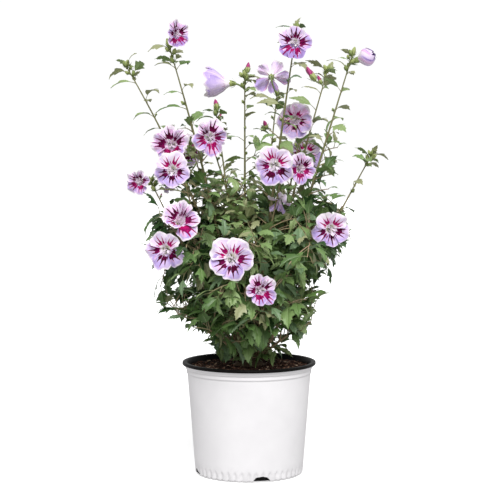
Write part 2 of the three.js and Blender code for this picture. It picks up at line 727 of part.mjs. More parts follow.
const growing = [...limbs.values()].map((limb, key) => ({ limb, key, mass: growStem(limb, key) }));
for (const { limb, key, mass } of growing) {
  const isBranch = "turn" in limb;
  dressMass(mass, isBranch ? DRESS.branch : DRESS.shoot, key);
  const fused = wasm.Manifold.union(mass.pieces);
  plant.add(nodeMesh(`${isBranch ? "bough" : "cane"}_${limb.name}`, limb.solid, FINISH.cane));
  plant.add(
    isBranch
      ? nodeMesh(`foliage_${limb.name}`, fused, FINISH.foliage)
      : nodeMesh(`shoot_${limb.name}`, fused, FINISH.shoot),
  );
}

export default plant;
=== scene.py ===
"""A rose of sharon in its nursery pot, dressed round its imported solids. Metres, +Z up, front towards -Y.

The plant grows by the rule of its solids, in millimetres: canes from one woody crown, side twigs and leaves
by repeatable draws, each leaf hung where it has room. Here it is carried on to finer twigs and leaves.
"""

import functools
import json
import math
from dataclasses import dataclass, field, replace

import bpy
import numpy as np
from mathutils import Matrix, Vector, noise

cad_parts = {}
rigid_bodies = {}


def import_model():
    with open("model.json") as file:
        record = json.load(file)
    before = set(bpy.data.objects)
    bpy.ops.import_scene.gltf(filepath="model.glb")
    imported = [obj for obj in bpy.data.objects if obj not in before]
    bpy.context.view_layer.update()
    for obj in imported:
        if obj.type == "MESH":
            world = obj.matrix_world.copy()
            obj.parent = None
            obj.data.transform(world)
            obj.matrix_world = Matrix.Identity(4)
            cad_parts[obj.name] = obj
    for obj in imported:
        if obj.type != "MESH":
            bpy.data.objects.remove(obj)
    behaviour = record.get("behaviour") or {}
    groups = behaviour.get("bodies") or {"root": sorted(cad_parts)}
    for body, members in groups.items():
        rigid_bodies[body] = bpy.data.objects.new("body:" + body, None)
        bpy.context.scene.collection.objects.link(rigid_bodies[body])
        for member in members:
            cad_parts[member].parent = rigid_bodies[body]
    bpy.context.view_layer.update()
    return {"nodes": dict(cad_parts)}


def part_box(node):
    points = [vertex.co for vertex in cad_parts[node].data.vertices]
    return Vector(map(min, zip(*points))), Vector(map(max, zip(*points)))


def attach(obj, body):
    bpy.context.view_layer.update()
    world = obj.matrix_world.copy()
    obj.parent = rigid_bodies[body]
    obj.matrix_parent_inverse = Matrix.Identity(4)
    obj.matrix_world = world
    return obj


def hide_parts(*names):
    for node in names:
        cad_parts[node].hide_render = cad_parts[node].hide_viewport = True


bl_info = {
    "name": "Potted rose of sharon",
    "version": (1, 0, 0),
    "blender": (4, 5, 0),
    "location": "3D View > Sidebar > Shrub",
    "description": "Builds a rose of sharon in leaf and flower, in its nursery pot",
    "category": "Add Mesh",
}

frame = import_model()

MM = 0.001
TURN, TURN_DEGREES = 2 * math.pi, 360
GOLDEN_ANGLE = math.radians(137.5)


# ---- Sizes of the solids, in millimetres ----

CROWN_FOOT, CROWN_TOP = (corner.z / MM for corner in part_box("crown"))
POT_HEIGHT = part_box("pot")[1].z / MM
RIM_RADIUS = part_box("pot")[1].x / MM
LIMB_HEIGHT = CROWN_FOOT + 12
FLARE, FLARE_SPAN, TAPER_POWER = 0.15, 0.08, 0.85
TIP_RADIUS = 1.1
FOOT_RADIUS, POT_TAPER, POT_WALL, POT_FLOOR = 113.0, 0.078, 2.0, 3.0


def pot_radius(height):
    return FOOT_RADIUS + POT_TAPER * height


@dataclass
class Bloom:
    """A bloom: its place along the stem, the heart where its petals meet, the way it faces as (turn, lift) in
    degrees, the petals' length and the angle that they are cupped by."""

    at: float
    centre: tuple
    facing: tuple
    petal: float
    cup: float
    form: str = "open"


@dataclass
class Limb:
    """A cane or bough: the foot on the crown, or (parent, share along it), the tip, and the curve between."""

    name: str
    foot: tuple
    tip: tuple
    lean: float
    rise: float
    radius: float
    buds: int = 0
    blooms: list = field(default_factory=list)
    bare: float = 0.0
    is_branch: bool = False


def branch(name, foot, turn, reach, height, blooms=()):
    """A leafy branch of the bush, by its turn in degrees and its reach."""
    tip = (*(heading(turn, 0)[:2] * reach), height)
    return Limb(name, foot, tip, 0.5, 0.72, 3.1, 0, list(blooms), 0.34, True)


# ---- Repeatable draws and directions ----

WORD = 0xFFFFFFFF
DRAW_SEED, DRAW_STEP, DRAW_STIR = 2166136261, 16777619, 2246822519


def chance(*keys):
    """A repeatable number from 0 to 1 for each list of whole numbers."""
    value = DRAW_SEED
    for key in keys:
        value = ((value ^ (int(key) & WORD)) * DRAW_STEP) & WORD
        value ^= value >> 15
        value = (value * DRAW_STIR) & WORD
        value ^= value >> 13
    return value / (WORD + 1)


def between(low, high, *keys):
    return low + (high - low) * chance(*keys)


def lerp(low, high, share):
    return low + (high - low) * share


def smooth(share):
    """A soft step from 0 to 1."""
    held = np.clip(share, 0, 1)
    return held * held * (3 - 2 * held)


def heading(turn, lift):
    """The way that a turn from +X and a lift above level point, in degrees."""
    a, b = math.radians(turn), math.radians(lift)
    return np.array((math.cos(a) * math.cos(b), math.sin(a) * math.cos(b), math.sin(b)))


def unit(vector):
    return vector / np.linalg.norm(vector)


def across(way):
    """Two directions square to a way. The second is as near to up as it can be."""
    pole = np.array((0.0, 1.0, 0.0) if abs(way[2]) > math.cos(math.radians(20)) else (0.0, 0.0, 1.0))
    first = unit(np.cross(pole, way))
    return first, np.cross(way, first)


def round_point(way, angle):
    """The direction at an angle round a way."""
    first, second = across(way)
    return first * math.cos(angle) + second * math.sin(angle)


# ---- The plant's limbs ----

SHOOTS = [
    Limb("far_left", (-22, 5), (-260, 59, 856), 0.14, 0.43, 4.6, 3),
    Limb(
        "left_tall", (-12, -20), (-163, -70, 892), 0.36, 0.5, 4.8, 2,
        [Bloom(1, (-149, -86, 913), (-66, 2), 31, 30, "nodding")],
    ),
    Limb("left_back", (-13, 18), (-71, 110, 758), 0.3, 0.5, 4.2, 1),
    Limb(
        "middle", (-8, -4), (-9, -10, 832), 0.6, 0.45, 4.6, 3,
        [Bloom(0.92, (-37, -18, 817), (170, 3), 58, 52, "trumpet")],
    ),
    Limb(
        "back", (4, 9), (60, 120, 796), 0.4, 0.45, 4.4, 1,
        [Bloom(1, (48, 114, 834), (84, 8), 41, 14, "limp")],
    ),
    Limb(
        "centre_tall", (8, -6), (97, -60, 928), 0.34, 0.42, 5.2, 3,
        [Bloom(0.9, (93, -80, 896), (-98, 8), 35, 20, "violet")],
    ),
    Limb(
        "right_back", (16, 16), (168, 100, 848), 0.32, 0.43, 4.6, 2,
        [Bloom(0.64, (97, 40, 742), (-92, -4), 43, 24, "faded")],
    ),
    Limb(
        "right_tall", (21, -9), (213, -30, 876), 0.42, 0.42, 5.2, 2,
        [Bloom(0.96, (226, -30, 866), (-18, 16), 27, 58, "opening")],
    ),
    Limb("far_right", (23, 4), (258, 40, 668), 0.4, 0.4, 4.2, 1),
    Limb(
        "left_low", (-21, -8), (-206, 18, 612), 0.42, 0.42, 3.8, 1,
        [Bloom(0.96, (-226, -2, 613), (-112, 4), 30, 26, "ragged")],
    ),
    Limb(
        "left_front", ("left_low", 0.25), (-154, -66, 700), 0.34, 0.4, 3.2, 0,
        [
            Bloom(1, (-158, -68, 690), (-94, 10), 43, 24, "ragged"),
            Bloom(0.82, (-155, -108, 640), (-100, 0), 39, 16),
        ],
    ),
    Limb(
        "left_inner", ("middle", 0.36), (-80, -62, 704), 0.36, 0.45, 3.2, 0,
        [Bloom(1, (-80, -74, 706), (-88, 6), 39, 24, "ragged")],
    ),
    Limb(
        "front", ("centre_tall", 0.2), (74, -96, 660), 0.3, 0.45, 3.2, 1,
        [
            Bloom(0.94, (52, -110, 649), (-97, 4), 41, 15),
            Bloom(0.97, (103, -84, 642), (-70, 4), 34, 26, "ragged"),
            Bloom(0.7, (64, -62, 580), (-104, -40), 34, 36, "limp"),
        ],
    ),
    Limb(
        "rear_left", ("left_back", 0.18), (-128, 172, 690), 0.36, 0.42, 3.2, 1,
        [Bloom(0.95, (-132, 190, 676), (110, 8), 40, 18), Bloom(0.8, (-164, 142, 616), (160, 4), 36, 20)],
    ),
    Limb(
        "rear_right", ("right_back", 0.32), (112, 182, 706), 0.36, 0.42, 3.2, 2,
        [Bloom(0.92, (120, 198, 668), (72, 6), 41, 17)],
    ),
]
BRANCHES = [
    branch("low_right", (16, -22), 348, 158, 332),
    branch("low_rear_right", (7, 26), 48, 150, 346),
    branch("low_rear_left", (-6, 27), 112, 150, 336, [Bloom(1, (-62, 170, 352), (110, 8), 36, 20)]),
    branch("low_left", (-24, 15), 176, 160, 338),
    branch("low_left_front", (-22, -20), 232, 140, 318),
    branch("low_front", (4, -25), 284, 156, 384, [Bloom(1, (21, -176, 402), (-82, 6), 35, 26, "ragged")]),
    branch("high_right", ("right_back", 0.24), 17, 172, 478),
    branch(
        "high_right_front", ("right_tall", 0.26), 318, 176, 502,
        [Bloom(1, (164, -118, 522), (-74, -4), 40, 16)],
    ),
    branch("high_front", ("middle", 0.26), 262, 164, 460, [Bloom(1, (-34, -178, 466), (-94, 6), 46, 14)]),
    branch(
        "high_left_front", ("left_tall", 0.3), 216, 178, 492,
        [
            Bloom(1, (-167, -116, 480), (-108, 2), 42, 16),
            Bloom(0.8, (-142, -104, 532), (-72, 34), 45, 32, "double"),
        ],
    ),
    branch(
        "high_rear_left", ("left_back", 0.28), 138, 172, 482,
        [Bloom(1, (-134, 128, 498), (140, 6), 40, 17)],
    ),
    branch("high_rear", ("back", 0.26), 72, 168, 492, [Bloom(1, (58, 172, 510), (74, 4), 42, 15)]),
]
SHOOT_BARE_HEIGHT, SHOOT_BARE_SHARE = 484, 0.22

# What each repeatable draw is for. Those of leaves and twigs in the first two lines are those of the solids.
DRAW_START, DRAW_FORWARD, DRAW_DROOP, DRAW_ROLL_X, DRAW_ROLL_Y, DRAW_SIZE = range(1, 7)
DRAW_TWIG_TURN, DRAW_TWIG_SIZE = 11, 12
DRAW_ARCH, DRAW_TWIST, DRAW_LOBES, DRAW_GREEN, DRAW_WIDTH, DRAW_FOLD, DRAW_BUD = range(21, 28)
DRAW_TUFT = 31
DRAW_BUD_TURN, DRAW_BUD_LIFT, DRAW_BUD_LENGTH = 7, 8, 9
DRAW_DENT, DRAW_STEEP, DRAW_RECURVE, DRAW_RUFFLE, DRAW_PATCH = range(2, 7)
DRAW_SPIN, DRAW_PETAL_TURN, DRAW_PETAL_SIZE, DRAW_LEAN_X, DRAW_LEAN_Y, DRAW_ANTHER = range(9, 15)
DRAW_CUP, DRAW_TILT, DRAW_RIM = range(15, 18)
DRAW_STREAK, DRAW_BLOT, DRAW_CRACK = 40, 50, 60

# Where the keys of each kind of finer growth start, so that no two kinds share their draws.
KEYS_FINE_TWIG, KEYS_FINE_LEAF, KEYS_TWIG_LEAF = 50000, 60000, 70000
KEYS_STEM_LEAF, KEYS_BOUGH_LEAF, KEYS_TUFT, KEYS_SPUR, KEYS_SPRIG = 80000, 85000, 87000, 90000, 95000
KEYS_SPUR_LEAF, KEYS_FOOT_LEAF, KEYS_SPRIG_LEAF = 100000, 105000, 110000

LEAF_SIZE_SPREAD = (0.8, 1.12)
LEAF_FORWARD = (0.1, 0.6)
LEAF_TIP_FORWARD = 2.2
LEAF_DROOP = (-1.05, -0.12)
LEAF_ROLL = 0.4
LEAF_END_MARGIN = 4
FIRST_LEAF_STEM, FIRST_LEAF_TWIG = 0.03, 0.12
BUSH_HANG = 1.3  # how much further a leaf of the bush hangs than its draw
TIP_HANG, TIP_FROM = 0.55, 0.8  # the same near a twig's tip, and the share along it where that starts
FOOT_HANG = 2.0  # the same over the crown
WAND_HANG, WAND_LIFT, WAND_TIP_SHARE = 0.55, 0.22, 0.55
STALK_SHARE = 0.24  # of a leaf's length, up to the foot of its blade
TWIG_FACES = 3  # the solids' twigs have three flat sides, and each leaf stands on one


@dataclass
class Dress:
    """The leaves and side twigs of one kind of leafy mass, each size from the mass's start to its tip."""

    leaf: tuple
    gap: tuple
    twigs: int
    span: tuple
    twig: tuple
    fine: int
    fine_span: tuple
    fine_twig: tuple


SHOOT_DRESS = Dress((76, 58), (30, 46), 2, (0.02, 0.2), (90, 66), 8, (0.0, 0.6), (80, 26))
BRANCH_DRESS = Dress((76, 64), (26, 26), 6, (0.06, 0.86), (112, 90), 11, (0.0, 0.96), (100, 72))
TWIG_LENGTH_SPREAD = (0.85, 1.15)
TWIG_SLIMMER, TWIG_RISE, TWIG_FORWARD, TWIG_SAG = 0.6, 0.25, 0.7, 0.24
TWIG_REACH = (1.07, 1.07, 1)  # a twig stays this much further inside the reach than its leaves
TWIG_GAPS, TWIG_LEAF_SHARE = (26, 26), 0.95
FINE_LEAF_SHARE, FINE_FIRST, FINE_GAPS = 0.78, 0.14, (20, 20)
BETWEEN_FIRST, BETWEEN_GAPS, WAND_GAPS, STEM_GAPS = 0.3, (24, 24), (30, 74), (22, 30)
SPUR_PLACES, SPUR_LENGTH, SPUR_GAPS = (0.4, 0.72), 48, (18, 18)
TUFT_COUNT, TUFT_TOP, TUFT_STEP, TUFT_LENGTHS = 8, 0.985, 0.014, (30, 58)
FOOT_GAPS, FOOT_LEAF = (7, 9), (56, 62)
SPRIG_COUNT, SPRIG_LENGTH, SPRIG_GAPS, SPRIG_LEAF = 9, 46, (12, 12), (58, 50)
BLOOM_BACK, BLOOM_FRONT, BLOOM_ROOM = -10, 75, 0.96  # kept free round a bloom, the last in petals' lengths

# How far the leaves may reach out from the middle at a height, to the left and to the right.
REACH_HEIGHTS = (232, 256, 276, 302, 318, 334, 366, 400, 430, 490, 560, 620, 660, 900, 955, 959)
REACH_LEFT = (64, 76, 96, 108, 170, 184, 186, 188, 188, 212, 200, 208, 290, 330, 330, 0)
REACH_RIGHT = (62, 98, 118, 127, 130, 134, 146, 164, 184, 208, 218, 240, 290, 330, 330, 0)
DEPTH_SHARE = 0.34  # how much further the bush reaches to the front and back than to the sides

# Where the canes or the sky show through, as ellipses seen from the front: (x, z), half sizes, how far
# back, and the share of the leaves that hang there all the same.
OPENINGS = (
    ((60, 286), (25, 21), 40, 0.0),
    ((62, 292), (14, 12), 300, 0.0),
    ((-30, 290), (10, 9), 300, 0.0),
    ((-147, 337), (15, 33), 300, 0.08),
    ((-146, 562), (42, 42), 300, 0.12),
    ((-44, 660), (52, 34), 300, 0.15),
    ((205, 595), (38, 40), 300, 0.1),
    ((50, 842), (32, 26), 100, 0.0),
)


class Path:
    """A curve as closely spaced points, read by the share of its length."""

    def __init__(self, points):
        self.points = np.asarray(points, float)
        steps = np.linalg.norm(np.diff(self.points, axis=0), axis=1)
        self.marks = np.concatenate(([0.0], np.cumsum(steps)))
        self.length = self.marks[-1]

    def at(self, share):
        mark = share * self.length
        return np.array([np.interp(mark, self.marks, self.points[:, axis]) for axis in range(3)])

    def tangent(self, share):
        last = len(self.points) - 2
        index = min(max(int(np.searchsorted(self.marks, share * self.length, "right")) - 1, 0), last)
        return unit(self.points[index + 1] - self.points[index])

    def part(self, start, end, count):
        return Path([self.at(share) for share in np.linspace(start, end, count)])


def bend(foot, middle, tip, count=33):
    """A curve from foot to tip, drawn towards a middle point."""
    foot, middle, tip = (np.asarray(point, float) for point in (foot, middle, tip))
    t = np.linspace(0, 1, count)[:, None]
    return Path((1 - t) ** 2 * foot + 2 * t * (1 - t) * middle + t**2 * tip)


@dataclass
class Twig:
    """A leafy twig: its path and its radius at each end. depth is 0 for the stem of a leafy mass. It stands
    at a place on its parent, and used is how much of it carries leaves or twigs."""

    path: Path
    foot_radius: float
    tip_radius: float
    depth: int
    spray: int
    parent: object = None
    place: float = 0.0
    used: float = 0.0

    def carry(self, share):
        self.used = max(self.used, share)
        if self.parent:
            self.parent.carry(self.place)

    def radius(self, share):
        return lerp(self.foot_radius, self.tip_radius, share)


@dataclass
class Leaf:
    """A leaf: the point where its stalk leaves the twig, the chord to its tip, and its own shape."""

    root: np.ndarray
    along: np.ndarray
    up: np.ndarray
    length: float
    key: int
    spray: int
    age: float
    on_wand: bool


@dataclass
class Bud:
    foot: np.ndarray
    along: np.ndarray
    length: float
    radius: float
    petals: float
    key: int


class Plant:
    """Grows the limbs, twigs, leaves and blooms. Each leaf is kept out of the room of those before it."""

    leaf_spacing = (5.6, 8.5)  # low in the bush, and above it
    leaf_samples = ((0.42, 0.0), (0.7, 0.0), (0.96, 0.0), (0.58, 0.2), (0.58, -0.2))

    def __init__(self):
        self.limbs = {}
        self.twigs = []
        self.leaves = []
        self.blooms = []
        self.taken = np.empty((40000, 3))
        self.taken_count = 0
        for limb in SHOOTS + BRANCHES:
            self.grow_limb(limb)
        stems = [self.grow_stem(limb, key) for key, limb in enumerate(self.limbs.values())]
        for key, (limb, stem) in enumerate(zip(self.limbs.values(), stems)):
            self.dress(limb, stem, key)

    def grow_limb(self, limb):
        parent = self.limbs.get(limb.foot[0])
        foot = parent.path.at(limb.foot[1]) if parent else np.array((*limb.foot, LIMB_HEIGHT))
        tip = np.array(limb.tip, float)
        middle = np.append(lerp(foot[:2], tip[:2], limb.lean), lerp(foot[2], tip[2], limb.rise))
        limb.path = bend(foot, middle, tip, 65)
        limb.parent = parent
        if not limb.is_branch:
            heights = limb.path.points[:, 2]
            reached = np.interp(SHOOT_BARE_HEIGHT, heights, limb.path.marks) / limb.path.length
            limb.bare = max(SHOOT_BARE_SHARE, reached)
        self.limbs[limb.name] = limb

    def grow_stem(self, limb, key):
        path = limb.path.part(limb.bare, 1, 33)
        stem = Twig(path, limb_radius(limb, limb.bare), limb_radius(limb, 1), 0, key)
        self.twigs.append(stem)
        limb.stem = stem
        for bloom in limb.blooms:
            end = 1 - LEAF_END_MARGIN / path.length
            self.blooms.append((bloom, path.at(min(end, bloom.at))))
        return stem

    def in_bloom_room(self, points):
        """Whether any point lies in a bloom, or close in front of it."""
        for bloom, _ in self.blooms:
            way = heading(*bloom.facing)
            offset = points - np.array(bloom.centre)
            depth = offset @ way
            spread = np.linalg.norm(offset - depth[:, None] * way, axis=1)
            if np.any((depth > BLOOM_BACK) & (depth < BLOOM_FRONT) & (spread < bloom.petal * BLOOM_ROOM)):
                return True
        return False

    def has_room(self, points):
        radii = np.linalg.norm(points[:, :2], axis=1)
        lowest = np.where(radii < pot_radius(POT_HEIGHT) - 14, CROWN_FOOT + 3, POT_HEIGHT + 2)
        in_pot = (radii < RIM_RADIUS + 4) & (points[:, 2] < lowest)
        if np.any(in_pot) or past_reach(points) or in_opening(points) or self.in_bloom_room(points):
            return False
        taken = self.taken[: self.taken_count]
        spacing = lerp(*self.leaf_spacing, float(smooth((points[0, 2] - 550) / 60)))
        low, high = points.min(axis=0) - spacing, points.max(axis=0) + spacing
        near = taken[np.all((taken > low) & (taken < high), axis=1)]
        if not len(near):
            return True
        gaps = np.linalg.norm(points[:, None] - near[None], axis=2)
        return gaps.min() > spacing

    def hang_leaf(self, twig, share, turn, forward, length, key, on_wand, hang=BUSH_HANG):
        tangent = twig.path.tangent(share)
        tilt = [between(-LEAF_ROLL, LEAF_ROLL, key, draw) for draw in (DRAW_ROLL_X, DRAW_ROLL_Y)]
        up = unit(np.array((*tilt, 0.62 if on_wand else 1.0)))
        first = round(turn / TURN * TWIG_FACES)
        for side in range(first, first + TWIG_FACES):
            out = round_point(tangent, TURN * (side + 0.5) / TWIG_FACES)
            droop = between(*LEAF_DROOP, key, side, DRAW_DROOP)
            droop = droop * WAND_HANG + WAND_LIFT if on_wand else droop * hang
            along = unit(out + tangent * forward + np.array((0, 0, droop)))
            root = twig.path.at(share)
            leaf = Leaf(root, along, up, length, key, twig.spray, share, on_wand)
            points = leaf_points(leaf, np.array(self.leaf_samples))
            if self.has_room(points):
                self.taken[self.taken_count : self.taken_count + len(points)] = points
                self.taken_count += len(points)
                self.leaves.append(leaf)
                twig.carry(share)
                return

    def hang_leaves(self, twig, first, gaps, lengths, key, on_wand=False, tip_leaf=True, hang=BUSH_HANG):
        total = twig.path.length
        end = 1 - LEAF_END_MARGIN / total
        start = TURN * chance(key, DRAW_START)
        share, index = first, 0
        while share < end:
            done = (share - first) / (1 - first)
            length = lerp(*lengths, done) * between(*LEAF_SIZE_SPREAD, key, index, DRAW_SIZE)
            forward = between(*LEAF_FORWARD, key, index, DRAW_FORWARD)
            turn = start + GOLDEN_ANGLE * index
            own_hang = hang * (TIP_HANG if share > TIP_FROM else 1)
            self.hang_leaf(twig, share, turn, forward, length, key * 61 + index, on_wand, own_hang)
            share += lerp(*gaps, done) / total
            index += 1
        if tip_leaf:
            length = lengths[1] * (WAND_TIP_SHARE if on_wand else 1)
            self.hang_leaf(twig, end, start, LEAF_TIP_FORWARD, length, key * 61 - 1, on_wand, hang * TIP_HANG)

    def grow_side_twig(self, stem, share, full_length, key, spray):
        tangent = stem.path.tangent(share)
        turn = TURN * chance(key, DRAW_TWIG_TURN)
        way = unit(round_point(tangent, turn) + tangent * TWIG_FORWARD + np.array((0, 0, TWIG_RISE)))
        length = full_length * between(*TWIG_LENGTH_SPREAD, key, DRAW_TWIG_SIZE)
        foot = stem.path.at(share)
        tip = foot + way * length - np.array((0, 0, length * TWIG_SAG))
        path = bend(foot, foot + way * length / 2, tip, 9)
        if self.in_bloom_room(path.points[3:]) or past_reach(path.points[4:] * TWIG_REACH):
            return None
        foot_radius = max(TIP_RADIUS, stem.radius(share) * TWIG_SLIMMER)
        twig = Twig(path, foot_radius, TIP_RADIUS * 0.8, stem.depth + 1, spray, stem, share)
        self.twigs.append(twig)
        return twig

    def first_twig(self, stem, place, length, keys, tries):
        """The first of a few tries at a side twig that has room, and the key it was grown by."""
        for twig_key in range(keys, keys + tries):
            twig = self.grow_side_twig(stem, place, length, twig_key, twig_key)
            if twig:
                return twig, twig_key
        return None, keys

    def dress(self, limb, stem, key):
        """Side twigs and leaves by the sizes of the mass's kind, then finer twigs and smaller leaves."""
        dress = BRANCH_DRESS if limb.is_branch else SHOOT_DRESS
        lengths = tuple(leaf * TWIG_LEAF_SHARE for leaf in dress.leaf)
        for index in range(dress.twigs):
            share = index / (dress.twigs - 1)
            place, length = lerp(*dress.span, share), lerp(*dress.twig, share)
            twig, _ = self.first_twig(stem, place, length, key * 101 + index * 7, 4)
            if twig:
                self.hang_leaves(twig, FIRST_LEAF_TWIG, TWIG_GAPS, lengths, key * 31 + index)
        self.hang_leaves(stem, FIRST_LEAF_STEM, dress.gap, dress.leaf, key, on_wand=not limb.is_branch)
        self.dress_finely(limb, stem, key, dress)

    def dress_finely(self, limb, stem, key, dress):
        """Finer twigs between the mass's own, and smaller leaves wherever there is room for them."""
        small = tuple(leaf * FINE_LEAF_SHARE for leaf in dress.leaf)
        on_wand = not limb.is_branch
        for index in range(dress.fine):
            share = (index + 0.5) / dress.fine
            place, length = lerp(*dress.fine_span, share), lerp(*dress.fine_twig, share)
            twig, twig_key = self.first_twig(stem, place, length, KEYS_FINE_TWIG + key * 101 + index * 7, 3)
            if twig:
                self.hang_leaves(twig, FINE_FIRST, FINE_GAPS, small, KEYS_FINE_LEAF + twig_key, on_wand)
        for twig in [twig for twig in self.twigs if twig.depth == 1 and twig.spray // 101 == key]:
            leaf_key = KEYS_TWIG_LEAF + twig.spray
            self.hang_leaves(twig, BETWEEN_FIRST, BETWEEN_GAPS, small, leaf_key, tip_leaf=False)
            for place in SPUR_PLACES:
                spur_key = KEYS_SPUR + twig.spray * 3 + int(place * 10)
                spur = self.grow_side_twig(twig, place, SPUR_LENGTH, spur_key, spur_key)
                if spur:
                    self.hang_leaves(spur, BETWEEN_FIRST, SPUR_GAPS, small, KEYS_SPUR_LEAF + spur_key)
        gaps = WAND_GAPS if on_wand else STEM_GAPS
        self.hang_leaves(stem, 0.06, gaps, small, KEYS_STEM_LEAF + key, on_wand, tip_leaf=False)
        if limb.is_branch:
            self.hang_leaves(stem, 0.0, FINE_GAPS, small, KEYS_BOUGH_LEAF + key, tip_leaf=False)
            self.dress_foot(limb, key)
        else:
            self.hang_tuft(stem, key)

    def hang_tuft(self, stem, key):
        """Small leaves close together at a cane's tip."""
        for index in range(TUFT_COUNT):
            share = TUFT_TOP - TUFT_STEP * index
            turn = GOLDEN_ANGLE * index + key
            length = between(*TUFT_LENGTHS, key, index, DRAW_TUFT)
            self.hang_leaf(stem, share, turn, 0.3, length, KEYS_TUFT + key * 9 + index, True)

    def dress_foot(self, limb, key):
        """Leaves and short sprigs low on a bough, which hang over the crown."""
        path = limb.path.part(0, limb.bare, 9)
        foot = Twig(path, limb_radius(limb, 0), limb_radius(limb, limb.bare), 0, key)
        leaf_key = KEYS_FOOT_LEAF + key
        self.hang_leaves(foot, 0.02, FOOT_GAPS, FOOT_LEAF, leaf_key, tip_leaf=False, hang=FOOT_HANG)
        for index in range(SPRIG_COUNT):
            sprig_key = KEYS_SPRIG + key * 13 + index
            sprig = self.grow_side_twig(foot, 0.1 + 0.1 * index, SPRIG_LENGTH, sprig_key, sprig_key)
            if sprig:
                self.hang_leaves(sprig, 0.2, SPRIG_GAPS, SPRIG_LEAF, KEYS_SPRIG_LEAF + sprig_key)


def past_reach(points):
    """Whether any point is further out than the leaves may be at its height."""
    radii = np.maximum(np.hypot(points[:, 0], points[:, 1]), 1)
    rightness = (1 + points[:, 0] / radii) / 2
    left, right = (np.interp(points[:, 2], REACH_HEIGHTS, reach) for reach in (REACH_LEFT, REACH_RIGHT))
    deeper = 1 + DEPTH_SHARE * np.abs(points[:, 1]) / radii
    return np.any(radii > lerp(left, right, rightness) * deeper)


def in_opening(points):
    """Whether any point lies where the canes or the sky show."""
    draw = chance(*(points[0] * 10))
    for middle, half, back, kept in OPENINGS:
        offset = (points[:, (0, 2)] - middle) / half
        if draw >= kept and np.any((np.linalg.norm(offset, axis=1) < 1) & (points[:, 1] < back)):
            return True
    return False


def limb_radius(limb, share):
    flare = 1 + FLARE * max(0.0, 1 - share / FLARE_SPAN)
    return lerp(limb.radius, TIP_RADIUS, share**TAPER_POWER) * flare


def leaf_arch(leaf):
    """The angle that a leaf bends through from the foot of its stalk to its tip."""
    return between(1.1, 1.9, leaf.key, DRAW_ARCH) if leaf.on_wand else between(0.5, 1.5, leaf.key, DRAW_ARCH)


def leaf_points(leaf, flat, rise=0.0):
    """Points of a leaf. flat has (share along stalk and blade, offset to the side as a share of the
    length), and rise is the height off the leaf's own sheet, as a share of the length."""
    arch = leaf_arch(leaf)
    side = unit(np.cross(leaf.along, leaf.up))
    lift = np.cross(side, leaf.along)
    pitch = arch * (flat[:, 0] - 0.5)
    forward = (np.sin(pitch) + math.sin(arch / 2)) / arch
    above = (np.cos(pitch) - math.cos(arch / 2)) / arch
    normal = np.cos(pitch)[:, None] * lift + np.sin(pitch)[:, None] * leaf.along
    twist = between(-0.5, 0.5, leaf.key, DRAW_TWIST) * flat[:, 0]
    turned_side = side * np.cos(twist)[:, None] + normal * np.sin(twist)[:, None]
    turned_normal = normal * np.cos(twist)[:, None] - side * np.sin(twist)[:, None]
    local = (
        forward[:, None] * leaf.along
        + above[:, None] * lift
        + flat[:, 1:2] * turned_side
        + np.reshape(rise, (-1, 1)) * turned_normal
    )
    return leaf.root + leaf.length * local


@functools.cache
def grow_plant():
    return Plant()


# ---- Meshes from arrays ----


class Stock:
    """Points and faces gathered for one mesh, in millimetres. A finish is an index into its materials."""

    def __init__(self):
        self.points, self.count = [], 0
        self.faces = {3: [], 4: []}
        self.finishes = {3: [], 4: []}

    def add(self, points, faces, finish=0):
        faces = np.asarray(faces)
        corners = faces.shape[1]
        self.points.append(np.asarray(points, float))
        self.faces[corners].append(faces + self.count)
        self.finishes[corners].append(np.broadcast_to(finish, len(faces)))
        self.count += len(points)

    def add_cap(self, ring, tip, finish=0):
        """Closes a ring of points to one point."""
        count = len(ring)
        fan = [(index, (index + 1) % count, count) for index in range(count)]
        self.add(np.vstack((ring, tip)), fan, finish)

    def add_tube(self, points, radii, count, finish, capped=False):
        """A tube round a path, with count points round it. A capped one closes to a point at its far end."""
        points = np.asarray(points, float)
        made, faces = tube(points, radii, count)
        self.add(made, faces, finish)
        if capped:
            self.add_cap(made[-count:], points[-1] + unit(points[-1] - points[-2]) * radii[-1], finish)

    def make(self, name, materials, smooth_shaded=True):
        mesh = bpy.data.meshes.new(name)
        kinds = [corners for corners in (3, 4) if self.faces[corners]]
        loops = np.concatenate([np.concatenate(self.faces[corners]).ravel() for corners in kinds])
        finishes = [np.concatenate(self.finishes[corners]) for corners in kinds]
        totals = np.concatenate([np.full(len(dealt), corners) for dealt, corners in zip(finishes, kinds)])
        mesh.vertices.add(self.count)
        mesh.loops.add(len(loops))
        mesh.polygons.add(len(totals))
        mesh.vertices.foreach_set("co", (np.concatenate(self.points) * MM).ravel().astype(np.float32))
        mesh.loops.foreach_set("vertex_index", loops.astype(np.int32))
        mesh.polygons.foreach_set("loop_start", (np.cumsum(totals) - totals).astype(np.int32))
        mesh.polygons.foreach_set("loop_total", totals.astype(np.int32))
        mesh.polygons.foreach_set("material_index", np.concatenate(finishes).astype(np.int32))
        mesh.polygons.foreach_set("use_smooth", np.full(len(totals), smooth_shaded))
        for material in materials:
            mesh.materials.append(material)
        mesh.update(calc_edges=True)
        mesh.validate()
        return place_in_scene(name, mesh)


def place_in_scene(name, data):
    made = bpy.data.objects.new(name, data)
    bpy.context.scene.collection.objects.link(made)
    return made


def grid(rows, columns, closed=False):
    """The faces of rows of points. A closed grid joins each row's last point to its first."""
    across_count = columns if closed else columns - 1
    row, column = np.meshgrid(np.arange(rows - 1), np.arange(across_count), indexing="ij")
    following = (column + 1) % columns
    corners = (row * columns + column, row * columns + following)
    corners += ((row + 1) * columns + following, (row + 1) * columns + column)
    return np.stack([corner.ravel() for corner in corners], axis=1)


